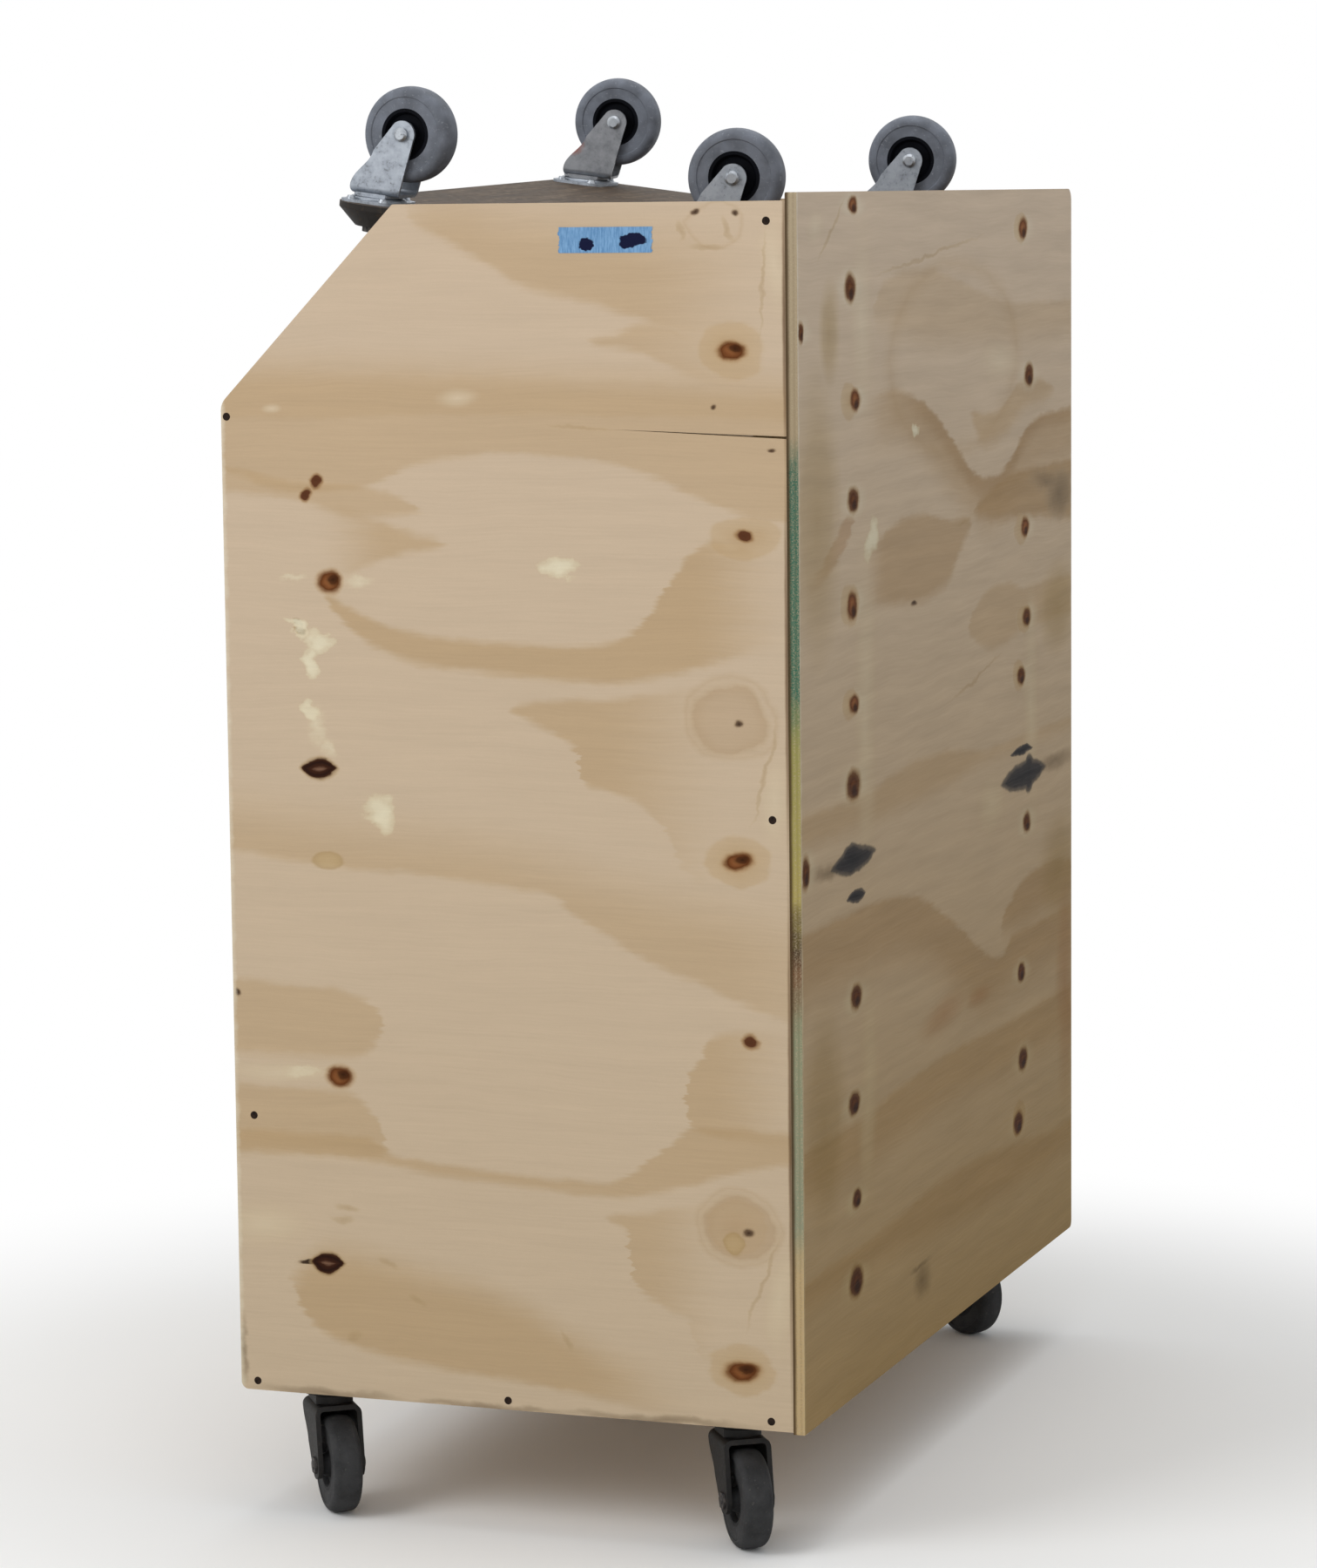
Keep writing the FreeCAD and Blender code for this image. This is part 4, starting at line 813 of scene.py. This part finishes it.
@dataclass(frozen=True)
class PlatedSteel(Finish):
    """Pressed or turned steel with a thin coat, zinc plated from a bath, or blackened and oiled: a dull metal,
    cloudy where the coat passivated unevenly, with grime in patches that hides the metal's shine.

    stain is the middle and radius of a patch of rust, in metres.
    """

    clean: str
    cloudy: str
    grime: str
    metallic: float = 0.85
    smooth: float = 0.32
    dull: float = 0.55
    grime_share: float = 0.62
    gloss: float = 0.5
    stain: tuple[float, float, float, float] | None = None

    def surface(self, add: Adder, place: NodeSocket) -> dict[str, object]:
        """Spread clouds, grime and rust over the metal.

        Args:
            add: Adds a node to the material.
            place: Place on the piece, in metres.

        Returns:
            Shader inputs by name.
        """
        # Spangle clouds about 12 mm across, and grime specks of 3 mm.
        cloud = add("TexNoise", {0: place, "Scale": 85.0, "Detail": 4.0, "Roughness": 0.6})
        specks = add("TexNoise", {0: place, "Scale": 330.0, "Detail": 4.0, "Roughness": 0.65})
        tone = add("ValToRGB", {0: cloud}, [(0.36, self.clean), (0.64, self.cloudy)])
        dirt = add("Math", {0: cloud, 1: 0.55, 2: specks}, operation="MULTIPLY_ADD")
        spread = add("MapRange", {0: dirt, 1: self.grime_share + 0.14, 2: self.grime_share + 0.34})
        colour = add("Mix", {0: spread, 6: tone, 7: self.grime}, data_type="RGBA")
        if self.stain:
            *middle, radius = self.stain
            spot = add("Mapping", {0: place, 1: middle, 3: [radius] * 3}, vector_type="TEXTURE")
            ball = add("TexGradient", {0: spot}, gradient_type="SPHERICAL").outputs["Fac"]
            patchy = add("Math", {0: ball, 1: specks}, operation="MULTIPLY")
            cover = add("MapRange", {0: patchy, 1: 0.04, 2: 0.26, 4: 0.8})
            colour = add("Mix", {0: cover, 6: colour, 7: "8E4C3A"}, data_type="RGBA")
        rough = add("MapRange", {0: dirt, 1: 0.5, 2: 1.0, 3: self.smooth, 4: self.dull})
        shine = add("MapRange", {0: spread, 3: self.metallic, 4: 0.25 * self.metallic})
        bump = add("Bump", {"Height": specks, "Strength": 0.12, "Distance": 0.3 * MM})
        return {"Base Color": colour, "Metallic": shine, "Roughness": rough, "Normal": bump,
                "Specular IOR Level": self.gloss}


@dataclass(frozen=True)
class Moulded(Finish):
    """Rubber or plastic pressed or injected in a mould, which leaves a fine even grain: matt, with scuffs that
    show paler and dust that settles in patches."""

    base: str
    scuff: str
    shade: str
    rough: float = 0.7
    scuff_from: float = 0.60
    relief: float = 0.25
    gloss: float = 0.4

    def surface(self, add: Adder, place: NodeSocket) -> dict[str, object]:
        """Spread dust and scuffs over the mould grain.

        Args:
            add: Adds a node to the material.
            place: Place on the piece, in metres.

        Returns:
            Shader inputs by name.
        """
        # Dust clouds about 20 mm across, scuffs of 4 mm, and a 1 mm mould grain.
        cloud = add("TexNoise", {0: place, "Scale": 50.0, "Detail": 3.0})
        scuffs = add("TexNoise", {0: place, "Scale": 250.0, "Detail": 5.0, "Roughness": 0.68})
        grain = add("TexNoise", {0: place, "Scale": 1000.0, "Detail": 1.0})
        tone = add("ValToRGB", {0: cloud}, [(0.34, self.shade), (0.62, self.base)])
        worn = add("MapRange", {0: scuffs, 1: self.scuff_from, 2: self.scuff_from + 0.16, 4: 0.75})
        colour = add("Mix", {0: worn, 6: tone, 7: self.scuff}, data_type="RGBA")
        rough = add("MapRange", {0: scuffs, 1: 0.3, 2: 0.7, 3: self.rough - 0.1, 4: self.rough + 0.12})
        bump = add("Bump", {"Height": grain, "Strength": self.relief, "Distance": 0.3 * MM})
        return {"Base Color": colour, "Roughness": rough, "Normal": bump, "IOR": SOLID_IOR,
                "Specular IOR Level": self.gloss}


@dataclass(frozen=True)
class MaskingTape(Finish):
    """Masking tape, of paper creped on a drum so that it stretches: matt blue with fine wrinkles across the
    strip, and blots of dark ink with ragged outlines.

    Each blot is a place along and up the panel and two half sizes, in metres.
    """

    paper: str = "5D86AE"
    pale: str = "7AA1C6"
    ink: str = "0C1130"
    blots: tuple[tuple[float, float, float, float], ...] = ()

    def surface(self, add: Adder, place: NodeSocket) -> dict[str, object]:
        """Wrinkle the paper and lay the ink on it.

        Args:
            add: Adds a node to the material.
            place: Place on the piece, in metres.

        Returns:
            Shader inputs by name.
        """
        # Crepe wrinkles 1.5 mm apart along the strip, drawn coarser than the real 0.3 mm to show.
        long = add("Mapping", {0: place, 3: (1.0, 650.0, 120.0)})
        crepe = add("TexNoise", {0: long, "Scale": 1.0, "Detail": 3.0})
        colour = add("ValToRGB", {0: crepe}, [(0.35, self.paper), (0.65, self.pale)])
        # Ink strays by a few mm, in bumps of about 4 mm.
        push = add("TexNoise", {0: place, "Scale": 240.0, "Detail": 3.0})
        centred = add("VectorMath", {0: push.outputs["Color"], 1: NOISE_MIDDLE}, operation="SUBTRACT")
        moved = add("VectorMath", {0: centred, 1: (0.0, 0.007, 0.005), 2: place}, operation="MULTIPLY_ADD")
        for y, z, half_y, half_z in self.blots:
            spot = add("Mapping", {0: moved, 1: (0.0, y, z), 3: (ALL_THROUGH, half_y, half_z)}, vector_type="TEXTURE")
            ball = add("TexGradient", {0: spot}, gradient_type="SPHERICAL").outputs["Fac"]
            cover = add("MapRange", {0: ball, 2: 0.12})
            colour = add("Mix", {0: cover, 6: colour, 7: self.ink}, data_type="RGBA")
        bump = add("Bump", {"Height": crepe, "Strength": 0.4, "Distance": 0.2 * MM})
        return {"Base Color": colour, "Roughness": 0.62, "Normal": bump, "IOR": PAPER_IOR,
                "Specular IOR Level": 0.1}


@dataclass(frozen=True)
class WornBoard(Finish):
    """Dolly board, varnished long ago and worn by loads: grey brown, streaked with dirt along the grain, with
    dark spots, pale chips through the varnish, and side faces painted black, worn bare in places, the black also
    standing in for the shade beneath the deck."""

    base: str = "44372A"
    dark: str = "352C24"
    pale: str = "736453"
    edge: str = "211E1C"

    def surface(self, add: Adder, place: NodeSocket) -> dict[str, object]:
        """Lay dirt, spots, chips and the black side faces, edge paint and painted shade in one, over one another.

        Args:
            add: Adds a node to the material.
            place: Place on the piece, in metres.

        Returns:
            Shader inputs by name.
        """
        # Streaks of dirt 10 mm wide and 90 mm long, dark spots and chips of 8 mm.
        long = add("Mapping", {0: place, 3: (11.0, 100.0, 100.0)})
        streak = add("TexNoise", {0: long, "Scale": 1.0, "Detail": 4.0})
        spots = add("TexNoise", {0: place, "Scale": 125.0, "Detail": 4.0, "Roughness": 0.6})
        chips = add("TexVoronoi", {0: place, "Scale": 55.0})
        tone = add("ValToRGB", {0: streak}, [(0.34, "3A3026"), (0.52, self.base), (0.68, "574A3C")])
        blot = add("MapRange", {0: spots, 1: 0.58, 2: 0.72, 4: 0.85})
        stained = add("Mix", {0: blot, 6: tone, 7: self.dark}, data_type="RGBA")
        bare = add("MapRange", {0: chips, 1: 0.12, 2: 0.20, 3: 0.7, 4: 0.0})
        board = add("Mix", {0: bare, 6: stained, 7: self.pale}, data_type="RGBA")
        # Painted shade: the side faces go black (edge), as edge paint and as the shade under the deck, left bare where
        # the spots are light.
        turned = add("SeparateXYZ", {0: add("NewGeometry").outputs["True Normal"]}).outputs
        level = add("Math", {0: turned[2]}, operation="ABSOLUTE")
        side = add("Math", {0: level, 1: 0.85}, operation="LESS_THAN")
        left = add("MapRange", {0: spots, 1: 0.56, 2: 0.66, 3: 0.95, 4: 0.35})
        paint = add("Math", {0: side, 1: left}, operation="MULTIPLY")
        colour = add("Mix", {0: paint, 6: board, 7: self.edge}, data_type="RGBA")
        rough = add("MapRange", {0: spots, 3: 0.5, 4: 0.8})
        bump = add("Bump", {"Height": streak, "Strength": 0.2, "Distance": 0.6 * MM})
        return {"Base Color": colour, "Roughness": rough, "Normal": bump, "IOR": SOLID_IOR,
                "Specular IOR Level": 0.2}


@dataclass(frozen=True)
class RibbedMat(Finish):
    """Rubber mat rolled with ribs 6 mm apart so that loads don't slip: dull charcoal, with dust in the grooves."""

    rib: str = "2E2D2D"
    groove: str = "4B4744"

    def surface(self, add: Adder, place: NodeSocket) -> dict[str, object]:
        """Rib the mat and dust it.

        Args:
            add: Adds a node to the material.
            place: Place on the piece, in metres.

        Returns:
            Shader inputs by name.
        """
        # A wave of scale s repeats every 2 pi / (20 s) metres, so 52 gives about 6 mm.
        ribs = add("TexWave", {0: place, "Scale": 52.0, "Distortion": 0.2}, bands_direction="Y").outputs["Fac"]
        # Dust in patches of about 6 mm.
        dust = add("TexNoise", {0: place, "Scale": 160.0, "Detail": 4.0})
        tone = add("ValToRGB", {0: ribs}, [(0.25, self.groove), (0.6, self.rib)])
        cover = add("MapRange", {0: dust, 1: 0.5, 2: 0.75, 4: 0.5})
        colour = add("Mix", {0: cover, 6: tone, 7: "6A635C"}, data_type="RGBA")
        bump = add("Bump", {"Height": ribs, "Strength": 0.6, "Distance": 1.2 * MM})
        return {"Base Color": colour, "Roughness": 0.82, "Normal": bump, "IOR": SOLID_IOR}


def dress(names: list[str], finish: Finish) -> None:
    """Give CAD nodes a finish in all their slots.

    Args:
        names: Node names.
        finish: The finish that they share.
    """
    made = finish.make()
    for name in names:
        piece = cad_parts[name]
        if not piece.material_slots:
            piece.data.materials.append(made)
        for slot in piece.material_slots:
            slot.material = made
        log.info("dressed %s in %s", name, made.name)


@dataclass
class TapeStrip:
    """Strip of masking tape stuck near the top of the right panel, torn at both ends.

    It runs from y0 to y1, from low to high above the panel's foot, in metres. lift is its gap to the wood,
    tear how deep the torn ends go in, and buckle how far it stands up in places.
    """

    y0: float = 0.0597
    y1: float = 0.1587
    low: float = 1.1603
    high: float = 1.1853
    thick: float = 0.25 * MM
    lift: float = 0.05 * MM
    tear: float = 2.2 * MM
    buckle: float = 0.12 * MM
    teeth: int = 9
    tear_seed: int = 11
    finish: MaskingTape = MaskingTape("blue_crepe_paper_tape", blots=(
        (0.0895, 1.2985, 0.0085, 0.0068), (0.1385, 1.3030, 0.0150, 0.0066), (0.1310, 1.2990, 0.0080, 0.0050)))

    def build(self) -> None:
        """Model the strip, tear its ends, dress it and stick it to the panel."""
        middle = ((self.y0 + self.y1) / 2, PANEL_LOW + (self.low + self.high) / 2)
        bpy.ops.mesh.primitive_plane_add(size=1.0, location=(RIGHT_FACE + self.lift, middle[0], middle[1]),
                                         rotation=(math.pi / 2, 0, math.pi / 2))
        strip = bpy.context.active_object
        strip.name = "masking_tape"
        strip.scale = (self.y1 - self.y0, self.high - self.low, 1.0)
        bpy.ops.object.transform_apply(location=True, rotation=True, scale=True)
        bpy.ops.object.mode_set(mode="EDIT")
        bpy.ops.mesh.select_all(action="SELECT")
        bpy.ops.mesh.subdivide(number_cuts=self.teeth)
        bpy.ops.mesh.subdivide(number_cuts=1)
        bpy.ops.object.mode_set(mode="OBJECT")
        pick = random.Random(self.tear_seed)
        for vertex in strip.data.vertices:
            point = vertex.co
            at_end = min(point.y - self.y0, self.y1 - point.y) < 0.01 * MM
            if at_end:
                inward = 1 if point.y < middle[0] else -1
                point.y += inward * pick.uniform(0.0, self.tear)
            point.x += pick.uniform(0.0, self.buckle)
        solid = strip.modifiers.new("paper", "SOLIDIFY")
        solid.thickness = self.thick
        solid.offset = 1.0
        bpy.ops.object.modifier_apply(modifier="paper")
        bpy.ops.object.shade_flat()
        strip.data.materials.append(self.finish.make())
        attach(strip, "cart")
        log.info("built %s", strip.name)


@dataclass
class CartBox:
    """Panels, floor, battens, rack and screws of the box.

    edge_seal is the paint left on the back panel's edge, by height in metres.
    """

    grain_seed: int = 5
    edge_seal: tuple[tuple[float, str], ...] = (
        (0.0, "B39A70"), (0.17, "B39A70"), (0.21, "82876F"), (0.40, "7E8468"), (0.45, "6B4A33"),
        (0.50, "3A2A1E"), (0.53, "A0924F"), (0.68, "8E8A4C"), (0.73, "2F6350"), (0.95, "2B5E4E"),
        (0.99, "9A896E"), (1.2, "A5957B"),
    )

    def dress(self) -> None:
        """Give every board and screw of the box its finish."""
        right = Plywood("sanded_pine_plywood_right", Facing.SIDE, PANEL_LOW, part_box("side_panel_right")[0][0],
                        RIGHT_FIGURE, 0.05, "ECECE6", "F9F9F8")
        left = replace(right, name="sanded_pine_plywood_left", face_low=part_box("side_panel_left")[0][0],
                       layers=next_sheet(RIGHT_FIGURE, 45))
        back = Plywood("weathered_pine_plywood_back", Facing.BACK, PANEL_LOW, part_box("back_panel")[0][1],
                       BACK_FIGURE, 0.05, "B6AA86", "F6F9FD", half_u=0.508, sealed=self.edge_seal,
                       plies_dark="8A7A60", plies_light="AB9B80", streaks=0.06, seam="45331F")
        front = Plywood("sanded_pine_plywood_front", Facing.BACK, PANEL_LOW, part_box("front_panel")[0][1],
                        next_sheet(BACK_FIGURE, -130), 0.05, half_u=0.508)
        floor = Plywood("sanded_pine_plywood_floor", Facing.FLOOR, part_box("floor_board")[0][1],
                        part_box("floor_board")[0][2], knot_columns(self.grain_seed, -500, 500, 0, 590), 0.3,
                        "EDE6DA", "F2ECE0", 0.6, 0.508, 3.8)
        dress(["side_panel_right"], right)
        dress(["side_panel_left"], left)
        dress(["back_panel"], back)
        dress(["front_panel"], front)
        dress(["floor_board"], floor)
        dress([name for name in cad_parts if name.startswith("corner_batten")],
              SawnPine("sawn_pine_batten", Facing.UPRIGHT))
        dress(["rack_rail_front", "rack_rail_rear", "rack_cleats"],
              SawnPine("sawn_pine_rail", Facing.BACK, "C8AF87", "A58558"))
        dress(["side_screws", "batten_screws"],
              PlatedSteel("black_phosphate_screw", "1F1510", "2C1F17", "130C09", 0.05, 0.6, 0.75, gloss=0.12))


@dataclass
class Casters:
    """Finishes of the cart's casters and the dolly's casters. One of the dolly's forks has rusted."""

    spots: tuple[str, ...] = ("front_right", "front_left", "rear_right", "rear_left")
    rust: tuple[float, float, float, float] = (-0.354, -0.2503, 1.405, 0.016)

    def named(self, group: str, kind: str) -> list[str]:
        """Node names of one kind of piece in a group."""
        return [group + "_" + spot + "_" + kind for spot in self.spots]

    def dress(self) -> None:
        """Give every caster piece its finish."""
        zinc = PlatedSteel("zinc_plated_steel", "9EA4AC", "8D939B", "676A70", 0.8, 0.38, 0.56, 0.7)
        dress(self.named("base", "fork") + ["base_plates"],
              PlatedSteel("black_coated_steel", "191817", "22201F", "35312D", 0.1, 0.5, 0.7, 0.7, 0.25))
        dress(self.named("base", "axle") + ["base_kingpins", "base_plate_bolts"],
              PlatedSteel("black_oiled_steel", "262526", "2F2D2D", "4A443F", 0.4, 0.45, 0.62))
        dress(self.named("base", "hub"),
              Moulded("black_polypropylene", "202021", "444240", "161617", gloss=0.2))
        dress(self.named("base", "tyre"),
              Moulded("black_rubber", "303031", "5A5753", "212122", 0.74, gloss=0.3))
        dress(self.named("dolly", "fork") + ["dolly_plates"], zinc)
        dress(["dolly_front_left_fork"],
              replace(zinc, name="zinc_plated_steel_rusted", clean="8E9094", cloudy="7C7E82", stain=self.rust))
        dress(self.named("dolly", "axle") + ["dolly_kingpins", "dolly_plate_bolts"],
              PlatedSteel("bright_zinc_steel", "AEB3B8", "969BA2", "505156", 0.9, 0.28, 0.48, 0.7))
        dress(self.named("dolly", "hub"),
              Moulded("charcoal_polypropylene", "0A0C12", "23252C", "05060A", gloss=0.06))
        dress(self.named("dolly", "tyre"),
              Moulded("grey_thermoplastic_rubber", "6C717B", "94989F", "585C64", 0.72, 0.58))


@dataclass
class Dolly:
    """Board and mat of the stowed dolly."""

    def dress(self) -> None:
        """Give the dolly's board and mat their finish."""
        dress(["dolly_deck"], WornBoard("worn_varnished_board"))
        dress(["dolly_pad"], RibbedMat("ribbed_rubber_mat"))


@dataclass
class Studio:
    """Pale floor, soft light and the camera that took the photograph.

    Lengths are in metres, angles in radians, and lens and sensor in mm. floor_fade is how far from the
    middle the floor starts to turn white and is white, world_tint a linear colour, and each lamp has a
    name, a place, a point that it looks at, the side of its square and its watts.
    """

    eye: Place = (4.92745, 1.75608, 1.34941)
    yaw: float = 0.3469
    pitch: float = 0.1223
    roll: float = -0.0106
    lens: float = 110.764
    sensor: float = 36.0
    floor_size: float = 24.0
    floor_fade: tuple[float, float] = (0.75, 1.45)
    world_light: float = 0.52
    world_tint: tuple[float, float, float, float] = (0.96, 0.98, 1.0, 1.0)
    lamps: tuple[tuple[str, Place, Place, float, float], ...] = (
        ("key_panel", (3.6, -2.6, 3.4), (0.1, 0.0, 0.75), 2.6, 97.0),
        ("fill_panel", (4.5, 2.2, 2.2), (0.1, 0.0, 0.7), 3.0, 36.0),
        ("top_panel", (-0.5, 0.4, 4.2), (0.0, 0.0, 0.9), 3.0, 60.0),
    )

    def build(self) -> None:
        """Make the floor, world, lamps and camera."""
        self.floor()
        self.world()
        for name, spot, aim, size, power in self.lamps:
            self.lamp(name, spot, aim, size, power)
        self.camera()

    def floor(self) -> None:
        """Lay a plain pale floor that runs out to white behind the object."""
        bpy.ops.mesh.primitive_plane_add(size=self.floor_size, location=(0, 0, 0))
        ground = bpy.context.active_object
        ground.name = "studio_floor"
        made, add = new_tree("studio_floor_paint")
        away = add("VectorMath", {0: add("TexCoord").outputs["Object"]}, operation="LENGTH")
        near, far = self.floor_fade
        fade = add("MapRange", {0: away, 1: near, 2: far}, interpolation_type="SMOOTHSTEP")
        seen = add("Math", {0: seen_rays(add), 1: fade}, operation="MULTIPLY")
        paint = add("BsdfDiffuse", {"Color": "F4F4F3"})
        glow = add("Emission", {"Color": "FFFFFF", "Strength": 1.0})
        both = add("MixShader", {0: seen, 1: paint, 2: glow})
        add("OutputMaterial", {0: both})
        ground.data.materials.append(made)

    def world(self) -> None:
        """White surroundings: full white where they are seen or mirrored, softer as light."""
        sky = bpy.data.worlds.new("studio_white")
        sky.use_nodes = True
        sky.node_tree.nodes.clear()
        add = partial(add_node, sky.node_tree)
        white = add("Background", {"Color": "FFFFFF", "Strength": 1.0})
        soft = add("Background", {"Color": self.world_tint, "Strength": self.world_light})
        both = add("MixShader", {0: seen_rays(add), 1: soft, 2: white})
        add("OutputWorld", {0: both})
        bpy.context.scene.world = sky

    def lamp(self, name: str, spot: Place, aim: Place, size: float, power: float) -> None:
        """Hang a soft square lamp that points at the object.

        Args:
            name: Lamp name.
            spot: Place in metres.
            aim: Point it looks at.
            size: Side of the square in metres.
            power: Watts.
        """
        data = bpy.data.lights.new(name, "AREA")
        data.size = size
        data.energy = power
        lamp = bpy.data.objects.new(name, data)
        lamp.location = spot
        lamp.rotation_euler = (Vector(aim) - Vector(spot)).to_track_quat("-Z", "Y").to_euler()
        bpy.context.scene.collection.objects.link(lamp)

    def camera(self) -> None:
        """Set the camera up as it stood for the photograph."""
        ahead = Vector((-math.cos(self.pitch) * math.cos(self.yaw), -math.cos(self.pitch) * math.sin(self.yaw),
                        -math.sin(self.pitch)))
        level = ahead.cross(Vector((0, 0, 1))).normalized()
        over = level.cross(ahead)
        right = math.cos(self.roll) * level + math.sin(self.roll) * over
        up = -math.sin(self.roll) * level + math.cos(self.roll) * over
        data = bpy.data.cameras.new("photo_camera")
        data.lens = self.lens
        data.sensor_width = self.sensor
        camera = bpy.data.objects.new("photo_camera", data)
        turn = Matrix((right, up, -ahead)).transposed().to_4x4()
        camera.matrix_world = Matrix.Translation(Vector(self.eye)) @ turn
        bpy.context.scene.collection.objects.link(camera)
        bpy.context.scene.camera = camera


def main() -> None:
    """Dress the cart and the dolly, add the loose details and set up the studio."""
    scene = bpy.context.scene
    scene.view_settings.view_transform = "Standard"
    CartBox().dress()
    Casters().dress()
    Dolly().dress()
    TapeStrip().build()
    Studio().build()


if __name__ == "__main__":
    main()
